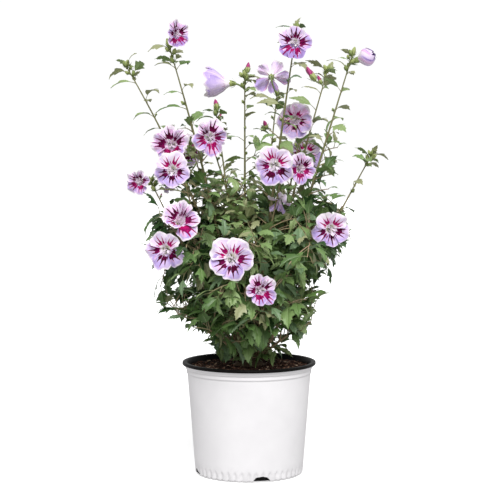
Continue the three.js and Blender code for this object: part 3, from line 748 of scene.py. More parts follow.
def frames_along(points):
    """A direction square to a path at each of its points, turned as little as can be, and the tangents."""
    tangents = np.gradient(points, axis=0)
    tangents /= np.linalg.norm(tangents, axis=1)[:, None]
    sides = np.empty_like(points)
    sides[0] = across(tangents[0])[0]
    for index in range(1, len(points)):
        side = sides[index - 1] - tangents[index] * (sides[index - 1] @ tangents[index])
        sides[index] = unit(side)
    return sides, tangents


def tube(points, radii, count):
    """The points round a path, count of them at each point, and the faces between."""
    sides, tangents = frames_along(points)
    others = np.cross(tangents, sides)
    angles = np.arange(count) * TURN / count
    ring = sides[:, None] * np.cos(angles)[None, :, None] + others[:, None] * np.sin(angles)[None, :, None]
    made = points[:, None] + ring * np.reshape(radii, (-1, 1, 1))
    return made.reshape(-1, 3), grid(len(points), count, closed=True)


def rings_round(way, turns):
    """The directions square to a way, at each of several angles round it."""
    first, second = across(way)
    return first * np.cos(turns)[:, None] + second * np.sin(turns)[:, None]


# ---- Finishes ----


def linear(red, green, blue):
    """A colour of 0 to 255 values, as a base colour."""
    shares = [value / 255 for value in (red, green, blue)]
    return tuple(share / 12.92 if share <= 0.04045 else ((share + 0.055) / 1.055) ** 2.4 for share in shares)


def set_sockets(tree, node, sockets):
    """Sets a node's sockets, or links them where the value is another node's output."""
    for key, value in sockets.items():
        socket = node.inputs[key]
        if isinstance(value, bpy.types.NodeSocket):
            tree.links.new(value, socket)
        else:
            socket.default_value = (*value, 1) if socket.type == "RGBA" else value


def new_material(name, sockets):
    """A material and its shader, with the shader's sockets set."""
    material = bpy.data.materials.new(name)
    material.use_nodes = True
    shader = material.node_tree.nodes["Principled BSDF"]
    set_sockets(material.node_tree, shader, sockets)
    return material, shader


def plain_finish(name, colour, roughness, sheen=0.0, specular=0.5):
    """One plain colour. Joined leaves and petals are dealt several of these."""
    sockets = {
        "Base Color": colour,
        "Roughness": roughness,
        "Sheen Weight": sheen,
        "Specular IOR Level": specular,
    }
    material, _ = new_material(name, sockets)
    material.diffuse_color = (*colour, 1)
    return material


class Finish:
    """A material with a pattern. Its nodes read each point's place on the piece, in metres."""

    def __init__(self, name, roughness, specular=0.5, **others):
        sockets = {"Roughness": roughness, "Specular IOR Level": specular, **others}
        self.material, self.shader = new_material(name, sockets)
        self.tree = self.material.node_tree
        self.place = self.node("TexCoord", "Object")

    def node(self, kind, output, sockets=None, **settings):
        """Adds a node with its settings and sockets, and gives one of its outputs."""
        made = self.tree.nodes.new("ShaderNode" + kind)
        for key, value in settings.items():
            setattr(made, key, value)
        set_sockets(self.tree, made, sockets or {})
        return made.outputs[output]

    def stretched(self, scale):
        """The place, scaled by (x, y, z)."""
        return self.node("Mapping", "Vector", {"Scale": scale, "Vector": self.place})

    def noise(self, scale, detail=4.0, roughness=0.6, place=None):
        sockets = {"Scale": scale, "Detail": detail, "Roughness": roughness, "Vector": place or self.place}
        return self.node("TexNoise", "Fac", sockets)

    def cells(self, scale, place=None):
        return self.node("TexVoronoi", "Distance", {"Scale": scale, "Vector": place or self.place})

    def climb(self, low, high, most=1.0):
        """A share that goes from 0 at one height, in millimetres, to most at another."""
        height = self.node("SeparateXYZ", "Z", {0: self.place})
        sockets = {"Value": height, "From Min": low * MM, "From Max": high * MM, "To Max": most}
        return self.node("MapRange", 0, sockets)

    def ramp(self, source, low, high):
        """Greys along a source, from one (place, grey) to another."""
        made = self.node("ValToRGB", "Color", {"Fac": source})
        for element, (place, grey) in zip(made.node.color_ramp.elements, (low, high)):
            element.position = place
            element.color = (grey, grey, grey, 1)
        return made

    def mix(self, share, first, second, blend="MIX"):
        return self.node("Mix", 2, {0: share, 6: first, 7: second}, data_type="RGBA", blend_type=blend)

    def fade(self, source, low, high, first, second, most=1.0):
        """The first colour where a source is under low, and most of the second where it is over high."""
        return self.mix(self.ramp(source, (low, 0.0), (high, most)), first, second)

    def bump(self, source, distance, strength=1.0, after=None):
        sockets = {"Distance": distance, "Strength": strength, "Height": source}
        return self.node("Bump", "Normal", sockets | ({"Normal": after} if after else {}))

    def finished(self, colour, roughness=None, normal=None):
        sockets = {"Base Color": colour, "Roughness": roughness, "Normal": normal}
        linked = {key: source for key, source in sockets.items() if source}
        set_sockets(self.tree, self.shader, linked)
        return self.material


# ---- Settings that a user would change ----


class ShrubSizes(bpy.types.PropertyGroup):
    """Sizes of the visible pieces."""

    bark_relief: bpy.props.FloatProperty(
        name="Bark relief", description="Height of the ridges on the canes", default=0.0006, unit="LENGTH"
    )
    petal_rows: bpy.props.IntProperty(
        name="Petal rows",
        description="Rows of faces from a petal's foot to its edge",
        default=20,
        min=8,
        max=48,
    )
    chip_count: bpy.props.IntProperty(
        name="Bark chips", description="Loose chips on the potting mix", default=1500, min=0, max=4000
    )


def colour_setting(name, description, value):
    share = linear(*value)
    return bpy.props.FloatVectorProperty(
        name=name, description=description, default=share, size=3, min=0, max=1, subtype="COLOR"
    )


class ShrubColours(bpy.types.PropertyGroup):
    """Base colours of the plant and its pot."""

    # The deep green is dealt as painted shade low in the bush and on its flanks, and to some leaves at
    # random.
    leaf_deep: colour_setting("Deep leaf", "Old leaves inside the bush", (42, 76, 32))
    leaf_mid: colour_setting("Leaf", "Full-grown leaves", (108, 140, 78))
    # The fresh green is dealt as painted light high in the bush, on its lower right and over the crown, and
    # to some leaves at random.
    leaf_fresh: colour_setting("Fresh leaf", "Leaves near the shoots' tips", (150, 172, 114))
    leaf_young: colour_setting("Young leaf", "The newest leaves", (158, 162, 120))
    vein: colour_setting("Vein", "Midribs of the leaves", (170, 190, 136))
    petal: colour_setting("Petal", "The open petals' main colour", (234, 213, 246))
    # The petal shade is the petals' own lavender and also painted shade, dealt on the lower petals and the
    # overlapped sides.
    petal_shade: colour_setting("Petal shade", "Lavender towards the petals' edges", (200, 176, 236))
    eye: colour_setting("Eye", "The crimson blotch at the petals' feet", (192, 16, 104))
    bark: colour_setting("Bark", "Older bark of the canes", (192, 166, 134))
    green_wood: colour_setting("Green wood", "Young stems", (134, 134, 92))
    pot: colour_setting("Pot", "The nursery pot's outside", (249, 247, 249))
    pot_lip: colour_setting("Pot lip", "The nursery pot's lip and inside", (7, 6, 6))
    mix: colour_setting("Potting mix", "The potting mix between the chips", (44, 30, 22))
    ground: colour_setting("Floor", "The studio floor", (250, 250, 250))


def sizes():
    return bpy.context.scene.shrub_sizes


def colour(name):
    return tuple(getattr(bpy.context.scene.shrub_colours, name))


def tinted(base, light=1.0, toward=None, share=0.0):
    """A base colour made lighter or darker, and drawn towards another."""
    mixed = [lerp(value, toward[index], share) if toward else value for index, value in enumerate(base)]
    return tuple(min(1.0, value * light) for value in mixed)


def settle(piece, slot, *nodes):
    """Puts a finished piece on the plant's one body, in the place of the solids that it stands for."""
    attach(piece, "root")
    if nodes:
        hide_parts(*nodes)


# ---- The pot and what is in it ----

POT_FACETS = 480
COLLAR_HEIGHT = POT_HEIGHT - 24
BEAD_FOOT = POT_HEIGHT - 15
NOTCH_COUNT, NOTCH_FIRST, NOTCH_HALF_WIDTH, NOTCH_HEIGHT, NOTCH_DEPTH = 4, -76.5, 18.0, 11.0, 9.0
FLUTE_COUNT, FLUTE_TOP, FLUTE_DEPTH = 48, 24.0, 2.0
POT_OVAL = 0.35  # how far the pot's mouth is from round

# The lip as (in from the rim, down from the top), then the bead and collar as (level, up from it, out from
# the wall).
BLACK_LIP = (
    (9.6, 1.4), (8.8, 0.3), (7.4, 0.0), (1.8, 0.0), (0.5, 0.5),
    (0.0, 1.7), (0.0, 5.2), (0.6, 6.0), (2.2, 6.5),
)
WHITE_LIP = ((5.0, 6.7), (6.2, 7.6), (6.6, 9.4), (6.6, 12.4), (7.2, 13.8))
BEAD_AND_COLLAR = (
    (BEAD_FOOT, 0.3, 0.4), (BEAD_FOOT, -0.8, -0.1), (BEAD_FOOT, -2.2, 0.9), (COLLAR_HEIGHT, 2.2, 1.7),
    (COLLAR_HEIGHT, 1.0, 1.6), (COLLAR_HEIGHT, -0.2, -0.3), (COLLAR_HEIGHT, -2.4, -0.1),
)


def pot_outline():
    """(radius, height, is black) down the pot's inside, over its lip, down its outside and under its foot."""
    inside = [(pot_radius(height) - POT_WALL, height, 1) for height in (POT_FLOOR, BEAD_FOOT)]
    lip = [
        (RIM_RADIUS - inward, POT_HEIGHT - down, is_black)
        for outline, is_black in ((BLACK_LIP, 1), (WHITE_LIP, 0))
        for inward, down in outline
    ]
    collar = [(pot_radius(level) + outward, level + up, 0) for level, up, outward in BEAD_AND_COLLAR]
    heights = (*np.linspace(COLLAR_HEIGHT - 6, FLUTE_TOP + 6, 22), *np.linspace(FLUTE_TOP, 4, 27))
    wall = [(pot_radius(height), height, 0) for height in heights]
    bottom = [(FOOT_RADIUS, 3, 0), (FOOT_RADIUS - 0.5, 1.2, 0), (FOOT_RADIUS - 2, 0, 0), (0.5, 0, 0)]
    return inside + lip + collar + wall + bottom


def make_pot():
    outline = pot_outline()
    turns = np.arange(POT_FACETS) * TURN / POT_FACETS
    rows = []
    for radius, height, is_black in outline:
        row = np.full(POT_FACETS, float(radius))
        if not is_black and height < FLUTE_TOP and radius > FOOT_RADIUS - 3:
            bow = np.abs(np.sin(turns * FLUTE_COUNT / 2))
            depth = FLUTE_DEPTH * smooth((FLUTE_TOP - 6 * bow - height) / 9)
            row -= depth * (1 - bow**1.5)
            for index in range(NOTCH_COUNT):
                middle = math.radians(NOTCH_FIRST) + index * TURN / NOTCH_COUNT
                offset = (turns - middle + math.pi) % TURN - math.pi
                away = np.abs(offset * radius / NOTCH_HALF_WIDTH)
                arch = NOTCH_HEIGHT * np.clip(1 - away**3, 0, 1) ** 0.7
                row -= NOTCH_DEPTH * (height < arch)
        row += POT_OVAL * np.sin(2 * turns + 0.6) * height / POT_HEIGHT
        level = np.full(POT_FACETS, float(height))
        rows.append(np.stack((row * np.cos(turns), row * np.sin(turns), level), 1))
    faces = grid(len(outline), POT_FACETS, closed=True)[:, ::-1]
    black = np.array([first[2] and second[2] for first, second in zip(outline, outline[1:])])
    stock = Stock()
    stock.add(np.concatenate(rows), faces, np.repeat(black.astype(int), POT_FACETS))
    return stock


def pot_finish():
    """Satin moulded plastic: faint draw lines down the wall, a grey bloom of dust towards the foot."""
    made = Finish("pot_plastic", 0.4, 0.3)
    white = colour("pot")
    lines = made.noise(1.0, 3, 0.5, made.stretched((90, 90, 3)))
    dust = made.noise(60, 5, 0.7)
    base = made.fade(made.noise(9, 3), 0.35, 0.7, white, tinted(white, 0.93))
    grime = made.mix(1.0, made.climb(35, 0, 0.5), made.ramp(dust, (0.42, 0.0), (0.68, 1.0)), "MULTIPLY")
    normal = made.bump(lines, 0.0004, 0.35, made.bump(dust, 0.00008, 0.4))
    roughness = made.ramp(dust, (0.2, 0.38), (0.8, 0.5))
    return made.finished(made.mix(grime, base, tinted(white, 0.62)), roughness, normal)


def lip_finish():
    made = Finish("pot_lip_plastic", 0.5, 0.12)
    dust = made.noise(120, 5, 0.7)
    dusty = made.fade(dust, 0.5, 0.8, colour("pot_lip"), (0.012, 0.01, 0.01), 0.5)
    return made.finished(dusty, made.ramp(dust, (0.3, 0.36), (0.8, 0.55)), made.bump(dust, 0.0001, 0.4))


SOIL_EDGE_HEIGHT, SOIL_MOUND, SOIL_SKIRT, SOIL_HOLE = POT_HEIGHT - 11, 3.0, 14, 0.4
SOIL_RADIUS = pot_radius(SOIL_EDGE_HEIGHT) - POT_WALL


def soil_height(x, y):
    """The potting mix's surface over a point."""
    radius = math.hypot(x, y)
    mound = SOIL_MOUND * float(smooth((1 - radius / SOIL_RADIUS) * 2))
    lumps = noise.noise(Vector((x, y, 0)) * 0.09) * 1.6 + noise.noise(Vector((x, y, 9)) * 0.3) * 0.9
    fade = float(smooth((SOIL_RADIUS - radius) / 6 + 0.25))
    return SOIL_EDGE_HEIGHT + mound - 0.8 + lumps * fade


def make_soil():
    rings, spokes = 60, 150
    points = []
    for ring in range(rings + 1):
        radius = max(SOIL_HOLE, (SOIL_RADIUS - SOIL_HOLE) * ring / rings)
        for spoke in range(spokes):
            turn = TURN * spoke / spokes
            x, y = radius * math.cos(turn), radius * math.sin(turn)
            points.append((x, y, soil_height(x, y)))
    skirt = [(x, y, z - SOIL_SKIRT) for x, y, z in points[-spokes:]]
    stock = Stock()
    stock.add(points + skirt, grid(rings + 2, spokes, closed=True))
    return stock


def soil_finish():
    """Dark crumbs of peat and bark with paler fibres between."""
    made = Finish("potting_mix", 0.95, 0.2)
    dark = colour("mix")
    fine = made.noise(420, 6, 0.75)
    brown = made.fade(made.noise(45, 4), 0.4, 0.66, tinted(dark, 0.6), tinted(dark, 1.9))
    fibrous = made.fade(fine, 0.55, 0.72, brown, linear(96, 70, 48), 0.8)
    normal = made.bump(made.cells(230), 0.002, 0.8, made.bump(fine, 0.001, 0.8))
    return made.finished(fibrous, made.ramp(fine, (0.3, 0.85), (0.8, 1.0)), normal)


CHIP_SEED, CHIP_MARGIN = 41, 5
CHIP_TONES = ((42, 27, 22), (68, 45, 37), (98, 68, 54), (138, 106, 88), (190, 166, 144))
CHIP_SHARES = (0.34, 0.3, 0.2, 0.11, 0.05)
BOX_FACES = ((0, 3, 2, 1), (4, 5, 6, 7), (0, 1, 5, 4), (1, 2, 6, 5), (2, 3, 7, 6), (3, 0, 4, 7))
UNIT_BOX = np.array([(x, y, z) for z in (-1, 1) for x, y in ((-1, -1), (1, -1), (1, 1), (-1, 1))], float)


def make_chips():
    """Shredded bark: long wedges and crumbs laid flat on the mix at every turn."""
    generator = np.random.default_rng(CHIP_SEED)
    stock = Stock()
    edge = SOIL_RADIUS - CHIP_MARGIN
    for _ in range(sizes().chip_count):
        radius, turn = edge * math.sqrt(generator.random()), TURN * generator.random()
        x, y = radius * math.cos(turn), radius * math.sin(turn)
        length = generator.uniform(2, 5.5) if generator.random() < 0.7 else generator.uniform(5.5, 11)
        half = np.array((length, generator.uniform(0.9, 2.4), generator.uniform(0.5, 1.3)))
        shape = UNIT_BOX * half * generator.uniform(0.55, 1.0, (8, 3))
        spin, pitch, roll = TURN * generator.random(), generator.normal(0, 0.22), generator.normal(0, 0.4)
        turned = np.array((math.cos(spin), math.sin(spin), 0.0))
        ahead = unit(turned * math.cos(pitch) + np.array((0, 0, math.sin(pitch))))
        side, over = across(ahead)
        cosine, sine = math.cos(roll), math.sin(roll)
        side, over = side * cosine + over * sine, over * cosine - side * sine
        points = shape[:, :1] * ahead + shape[:, 1:2] * side + shape[:, 2:] * over
        reach = np.hypot(points[:, 0] + x, points[:, 1] + y).max()
        if reach > SOIL_RADIUS - 1:
            continue
        points += (x, y, soil_height(x, y) + generator.uniform(-0.2, 1.2))
        stock.add(points, BOX_FACES, generator.choice(len(CHIP_SHARES), p=CHIP_SHARES))
    return stock


def chip_finishes():
    tones = [linear(*tone) for tone in CHIP_TONES]
    return [plain_finish(f"bark_chip_{index}", tone, 0.9, 0, 0.25) for index, tone in enumerate(tones)]


# ---- Wood ----


def ridge(x, y, z):
    """Height of the bark's ridges at a point, from -1 to 1. They run up and down."""
    fine = noise.noise(Vector((x * 0.55, y * 0.55, z * 0.09)))
    broad = noise.noise(Vector((x * 0.2 + 7, y * 0.2, z * 0.04)))
    return 0.65 * fine + 0.6 * broad


CANE_SIDES, CANE_STEP = 12, 5  # points round a cane, and millimetres between its rings
SCAR_GAP, SCAR_SWELL = 24 / 5, 0.1  # rings from one bud scar to the next, and how far each stands out
RIDGE_REACH, FULL_RIDGE_RADIUS = 9, 4.2


def add_cane(stock, limb, relief):
    """A cane's tube with ridged bark, a swelling at each bud scar, and its foot sunk into what carries it."""
    share_end = 1.0 if limb.blooms or not limb.is_branch else lerp(limb.bare, 1, limb.stem.used)
    shares = np.linspace(0, share_end, max(24, int(limb.path.length * share_end / CANE_STEP)))
    if limb.parent:
        inner = limb.parent.path.at(max(0, limb.foot[1] - 0.02))
    else:
        inner = np.array((*(limb.path.at(0)[:2] * 0.5), CROWN_FOOT + 4))
    points = np.vstack((inner, [limb.path.at(share) for share in shares]))
    radii = np.array([limb_radius(limb, share) for share in shares])
    radii = np.concatenate(([radii[0] * 1.1], radii))
    swollen = radii * (1 + SCAR_SWELL * np.maximum(0, np.cos(np.arange(len(radii)) / SCAR_GAP * TURN)) ** 8)
    made, faces = tube(points, swollen, CANE_SIDES)
    centres = np.repeat(points, CANE_SIDES, axis=0)
    outward = (made - centres) / np.repeat(swollen, CANE_SIDES)[:, None]
    heights = np.array([ridge(*place) for place in centres + outward * RIDGE_REACH])
    wood = np.repeat(np.clip(radii / FULL_RIDGE_RADIUS, 0.2, 1), CANE_SIDES)
    made += outward * (heights * relief * wood)[:, None]
    stock.add(made, faces)
    last = made[-CANE_SIDES:]
    stock.add_cap(last, last.mean(axis=0) + unit(points[-1] - points[-2]))


CROWN_ROWS, CROWN_COLUMNS = 34, 72
CROWN_HEIGHTS = np.array((0, 0.1, 0.38, 0.73, 1.0)) * (CROWN_TOP - CROWN_FOOT) + CROWN_FOOT
CROWN_RADII = (38, 33, 28, 31, 22)
CROWN_SIDE_SHARE = 0.72  # of the rows. The rest close the crown's top


def add_crown(stock, relief):
    """The woody stool under the canes: knuckled, waisted over the mix, with a shoulder to each cane."""
    feet = [np.array(limb.foot) for limb in SHOOTS + BRANCHES if not isinstance(limb.foot[0], str)]
    points = []
    for row in range(CROWN_ROWS):
        share = row / (CROWN_ROWS - 1)
        over = max(0.0, (share - CROWN_SIDE_SHARE) / (1 - CROWN_SIDE_SHARE))
        height = lerp(CROWN_FOOT, CROWN_TOP, min(1.0, share / CROWN_SIDE_SHARE)) - over * over * 3
        rim = CROWN_RADII[-1] * (1 - over) if over else np.interp(height, CROWN_HEIGHTS, CROWN_RADII)
        for column in range(CROWN_COLUMNS):
            turn = TURN * column / CROWN_COLUMNS
            x, y = rim * math.cos(turn), rim * math.sin(turn)
            gap = min(math.hypot(x - foot[0], y - foot[1]) for foot in feet)
            shoulder = 7.0 * math.exp(-((gap / 6) ** 2)) * smooth(share * 2.5)
            knuckle = noise.noise(Vector((x, y, height)) * 0.12) * 2.2 * smooth(share * 6)
            grain = ridge(x * 2.5, y * 2.5, height) * relief * 1.6
            swell = (knuckle + grain + shoulder) * min(1.0, rim / 10)
            held = max(0.3, rim + swell - 5.0 * smooth(share * 2.5) - 2)
            lift = over * (shoulder * 0.8 + knuckle * 0.5)
            points.append((held * math.cos(turn), held * math.sin(turn), max(CROWN_FOOT - 2, height + lift)))
    stock.add(points, grid(CROWN_ROWS, CROWN_COLUMNS, closed=True))


def bark_finish():
    """Grey-brown bark, greener where it is young, with paler streaks and raised pores, and painted shade near
    the mix, where the bush shades it.
    """
    made = Finish("cane_bark", 0.82, 0.3)
    old, young = colour("bark"), colour("green_wood")
    streaks = made.noise(1.0, 5, 0.65, made.stretched((900, 900, 110)))
    patches = made.noise(55, 4, 0.6)
    pores = made.cells(1.0, made.stretched((420, 420, 240)))
    grey = made.fade(streaks, 0.36, 0.66, tinted(old, 0.5), tinted(old, 1.25))
    green = made.fade(streaks, 0.35, 0.7, tinted(young, 0.7), tinted(young, 1.2))
    bark = made.mix(made.mix(0.35, made.climb(360, 660), patches, "OVERLAY"), grey, green)
    spotted = made.mix(made.ramp(pores, (0.1, 0.55), (0.22, 0.0)), bark, linear(168, 152, 122))
    # Painted shade: the bark low on the crown and the canes' feet is darkened towards the potting mix's
    # colour, under the bush.
    painted_shade_near_mix = made.ramp(made.climb(CROWN_FOOT, CROWN_FOOT + 40), (0.3, 0.8), (1.0, 0.0))
    bark_with_painted_shade = made.mix(painted_shade_near_mix, spotted, tinted(colour("mix"), 1.4))
    normal = made.bump(streaks, 0.0007, 0.7, made.bump(pores, 0.0003, -0.4))
    return made.finished(bark_with_painted_shade, made.ramp(patches, (0.3, 0.7), (0.8, 0.9)), normal)


# ---- Leaves and twigs ----

# Down half a leaf's outline: where its vein leaves the midrib, and where it ends as (along, to the side),
# all as shares of the blade's length. The first is of a deeply three-lobed leaf and the second of a plain
# pointed one.
LOBED = (
    (0.00, 0.00, 0.014), (0.04, 0.07, 0.10), (0.08, 0.18, 0.20), (0.12, 0.26, 0.225), (0.17, 0.41, 0.345),
    (0.22, 0.56, 0.40), (0.31, 0.50, 0.245), (0.42, 0.55, 0.145), (0.50, 0.67, 0.215), (0.59, 0.68, 0.145),
    (0.69, 0.80, 0.155), (0.80, 0.83, 0.08), (1.00, 1.00, 0.0),
)
PLAIN = (
    (0.00, 0.00, 0.012), (0.04, 0.08, 0.085), (0.08, 0.18, 0.165), (0.13, 0.26, 0.185), (0.18, 0.37, 0.24),
    (0.24, 0.39, 0.22), (0.32, 0.50, 0.25), (0.41, 0.52, 0.215), (0.50, 0.63, 0.215), (0.60, 0.66, 0.165),
    (0.70, 0.77, 0.145), (0.82, 0.82, 0.085), (1.00, 1.00, 0.0),
)
MIDRIB_HALF_WIDTH = 0.011
# A leaf's columns of points: how far out to the edge, and which side. Between its veins it bulges at QUILT.
QUILT = 0.55
LEAF_COLUMNS = ((1, -1), (QUILT, -1), (0, -1), (0, 0), (0, 1), (QUILT, 1), (1, 1))
RIB_FACES = (0, 0, 1, 1, 0, 0)
LEAF_BANDS = (
    ("leaves_of_bush_low", 400), ("leaves_of_bush_middle", 490), ("leaves_of_bush_high", 570),
    ("leaves_of_shoots", math.inf),
)
# The greens run from dark to light. leaf_green deals the darker ones partly as painted shade and the lighter
# ones partly as painted light, by the leaf's place in the bush.
GREENS = ("deep", "mid_dark", "mid", "mid_blue", "mid_warm", "fresh", "fresh_light", "young")
GREEN_LIMITS = (1.1, 1.9, 2.6, 3.1, 3.6, 4.2)
YOUNG = len(GREENS) - 1


def leaf_blade(leaf):
    """The points of a leaf's blade as rows across it, out along its veins."""
    narrow = 0.8 if leaf.on_wand else smooth((430 - leaf.root[2]) / 120)
    lobes = between(0.6, 1.25, leaf.key, DRAW_LOBES) - 0.4 * narrow
    width = between(0.82, 1.12, leaf.key, DRAW_WIDTH) * (0.94 if leaf.on_wand else 1)
    stem, edge_along, edge_side = (np.array(PLAIN) * (1 - lobes) + np.array(LOBED) * lobes).T
    edge_side = edge_side * width
    rows = len(stem)
    rib = np.minimum(MIDRIB_HALF_WIDTH * (1 - 0.8 * stem), edge_side * 0.4)
    flat = np.zeros((rows, len(LEAF_COLUMNS), 2))
    rise = np.zeros((rows, len(LEAF_COLUMNS)))
    vein = np.where(np.arange(rows) % 2 == 1, 1.0, 0.0)
    fold = between(-0.05, 0.5, leaf.key, DRAW_FOLD)
    wave_start = TURN * chance(leaf.key, DRAW_FOLD, 2)
    for column, (share, sign) in enumerate(LEAF_COLUMNS):
        side = lerp(rib, edge_side, share) if sign else np.zeros(rows)
        flat[:, column, 0] = lerp(stem, edge_along, share) if sign else stem
        flat[:, column, 1] = side * sign
        wave = 0.022 * share * np.sin(wave_start + sign + stem * 9)
        quilt = (0.5 - vein) * 0.028 * (share == QUILT)
        rise[:, column] = fold * side - 0.75 * side**2 + quilt + wave - (0.008 if not sign else 0)
    flat[:, :, 0] = STALK_SHARE + (1 - STALK_SHARE) * flat[:, :, 0]
    flat[:, :, 1] *= 1 - STALK_SHARE
    return leaf_points(leaf, flat.reshape(-1, 2), (rise * (1 - STALK_SHARE)).ravel())


def leaf_green(leaf):
    """Which green a leaf is dealt: by its place, its spray, its age, its size and its own draw. Its place
    deals painted light and shade: lighter greens high in the bush, on its lower right and over the crown, and
    darker ones on its flanks.
    """
    if leaf.on_wand and leaf.age > 0.3 and chance(leaf.key, DRAW_GREEN) < 0.5:
        return YOUNG
    own = chance(leaf.key, DRAW_GREEN, 1)
    if own > 0.965:
        return YOUNG
    x, _, z = leaf.root
    # Painted light and shade: greens lighter with height, darker on the flanks (most on the left), lighter on
    # the lower right and over the crown. Then the spray's and the leaf's own draws and its size.
    painted_flank_shade = smooth((abs(x) - 66) / 60) * smooth((z - 420) / 60) * smooth((650 - z) / 40)
    level = smooth((z - 330) / 170) * 1.9 - painted_flank_shade * (3.0 if x < 0 else 1.7)
    level += smooth((x - 30) / 60) * smooth((440 - z) / 80) * 1.4
    level += smooth((330 - z) / 60) * 1.7
    level += chance(leaf.spray, DRAW_GREEN) * 1.5 + own * 2.1 + (0.3 if leaf.length < 50 else 0)
    return next((finish for finish, limit in enumerate(GREEN_LIMITS) if level < limit), len(GREEN_LIMITS))


def leaf_finishes():
    deep, mid, fresh, vein = colour("leaf_deep"), colour("leaf_mid"), colour("leaf_fresh"), colour("vein")
    tones = (
        deep, tinted(mid, 1, deep, 0.5), mid, tinted(mid, 1, linear(112, 138, 108), 0.7),
        tinted(mid, 1.1, fresh, 0.3), tinted(mid, 1, fresh, 0.65), fresh, colour("leaf_young"),
    )
    blades = [plain_finish(f"leaf_{name}", tone, 0.42) for name, tone in zip(GREENS, tones)]
    ribs = [tinted(tone, 1, vein, 0.6) for tone in tones]
    return blades + [plain_finish(f"vein_{name}", rib, 0.5) for name, rib in zip(GREENS, ribs)]


def add_leaf(stock, leaf):
    rows = len(LOBED)
    is_rib = np.tile(RIB_FACES, rows - 1)
    stock.add(leaf_blade(leaf), grid(rows, len(LEAF_COLUMNS)), leaf_green(leaf) + len(GREENS) * is_rib)


def add_stalk(stock, leaf):
    shares = np.array(((0.0, 0.0), (0.09, 0.0), (0.18, 0.0), (STALK_SHARE + 0.03, 0.0)))
    radii = np.array((1.25, 0.85, 0.75, 0.6)) * lerp(0.6, 1, min(1, leaf.length / 90))
    stock.add_tube(leaf_points(leaf, shares, -0.006), radii, 4, 0 if leaf.age > 0.4 else 1)


def twig_finishes():
    green, brown = colour("green_wood"), colour("bark")
    tones = (tinted(green, 1.1), tinted(green, 0.9, brown, 0.4), tinted(brown, 1.0, green, 0.2), brown)
    return [plain_finish(f"twig_{index}", tone, 0.62) for index, tone in enumerate(tones)]


def add_twig(stock, twig):
    shares = np.linspace(0, min(1, twig.used + 0.02), 10)
    points = [twig.path.at(share) for share in shares]
    finish = 1 + int(chance(twig.spray, DRAW_TWIG_SIZE, 3) * 2.5)
    stock.add_tube(points, twig.radius(shares), 6, finish, capped=True)


# ---- Buds ----


CALYX_FINISHES, SCALE_FINISH, BUD_FINISHES = 2, 2, (4, 3, 3)
SCALE_SHAPE = (0.5, 0.95, 1.0, 0.8, 0.45, 0.04)  # a scale's half width from its foot to its tip
CALYX_ROWS, CALYX_SIDES = 9, 20
BUD_ROWS, BUD_SIDES = 12, 15


def add_scale(stock, foot, along, out, length, width, curl):
    """A narrow pointed scale that leaves the foot outwards and curves up along the bud."""
    side = unit(np.cross(along, out))
    rows = len(SCALE_SHAPE)
    angles = lerp(1.25, curl, np.linspace(0, 1, rows))[:, None]
    steps = (along * np.cos(angles) + out * np.sin(angles)) * length / (rows - 1)
    steps[0] = 0
    centres = foot + np.cumsum(steps, axis=0)
    half = side * width * np.array(SCALE_SHAPE)[:, None]
    points = np.stack((centres - half, centres + out * 0.25, centres + half), 1)
    stock.add(points.reshape(-1, 3), grid(rows, 3), SCALE_FINISH)


def add_calyx(stock, foot, along, length, radius, opening, key, scales=7):
    """Five joined sepals, closed over the petals or open round them, in a ring of narrow scales."""
    turns = np.arange(CALYX_SIDES) * TURN / CALYX_SIDES
    ring = rings_round(along, turns)
    rows = []
    for share in np.linspace(0, 1, CALYX_ROWS):
        closed = radius * math.sin(math.pi * min(1, share * 0.92 + 0.1)) ** 0.7
        flared = radius * (0.55 + 0.75 * share)
        reach = lerp(closed, flared, opening) * (1 + 0.1 * np.cos(5 * turns) * smooth(share * 2))
        drop = -0.28 * length * share**2 * (1 - np.abs(np.cos(2.5 * turns))) * (0.3 + opening)
        rows.append(foot + along * (length * share + drop)[:, None] + ring * reach[:, None])
    finish = int(chance(key, DRAW_BUD) * CALYX_FINISHES)
    stock.add(np.concatenate(rows), grid(CALYX_ROWS, CALYX_SIDES, closed=True), finish)
    for index in range(scales):
        out = round_point(along, TURN * (index + 0.3 * chance(key, index, DRAW_BUD)) / scales)
        size = length * between(0.6, 0.95, key, index, DRAW_SIZE)
        add_scale(stock, foot + out * radius * 0.25, along, out, size, 1.1, between(-0.1, 0.7, key, index))


def add_bud(stock, bud):
    """A bud on its short stalk. petals is how far its rolled petals show, as a share of its length."""
    stalk = bend(bud.foot - bud.along * 5, bud.foot - bud.along * 2, bud.foot, 4).points
    stock.add_tube(stalk, np.full(4, 1.3), 5, SCALE_FINISH)
    add_calyx(stock, bud.foot, bud.along, bud.length * 0.8, bud.radius, 0.12, bud.key)
    if not bud.petals:
        return
    turns = np.arange(BUD_SIDES) * TURN / BUD_SIDES
    rows = []
    for share in np.linspace(0, 1, BUD_ROWS):
        reach = bud.radius * 0.86 * math.sin(math.pi * (0.35 + 0.65 * share) ** 1.25) ** 0.8
        swell = reach * (1 + 0.12 * np.cos(5 * turns))
        middle = bud.foot + bud.along * bud.length * (0.3 + (0.6 + bud.petals) * share)
        rows.append(middle + rings_round(bud.along, turns + share * 1.9) * swell[:, None])
    tones = np.tile(BUD_FINISHES, (BUD_ROWS - 1) * BUD_SIDES // len(BUD_FINISHES))
    stock.add(np.concatenate(rows), grid(BUD_ROWS, BUD_SIDES, closed=True), tones)


def bud_finishes():
    return [
        plain_finish("calyx_green", linear(140, 156, 88), 0.6, 0.2),
        plain_finish("calyx_fresh", linear(166, 178, 108), 0.6, 0.2),
        plain_finish("calyx_scale", linear(116, 134, 72), 0.6),
        plain_finish("bud_magenta", linear(188, 48, 128), 0.6, 0.3),
        plain_finish("bud_wine", linear(132, 22, 88), 0.6, 0.3),
    ]


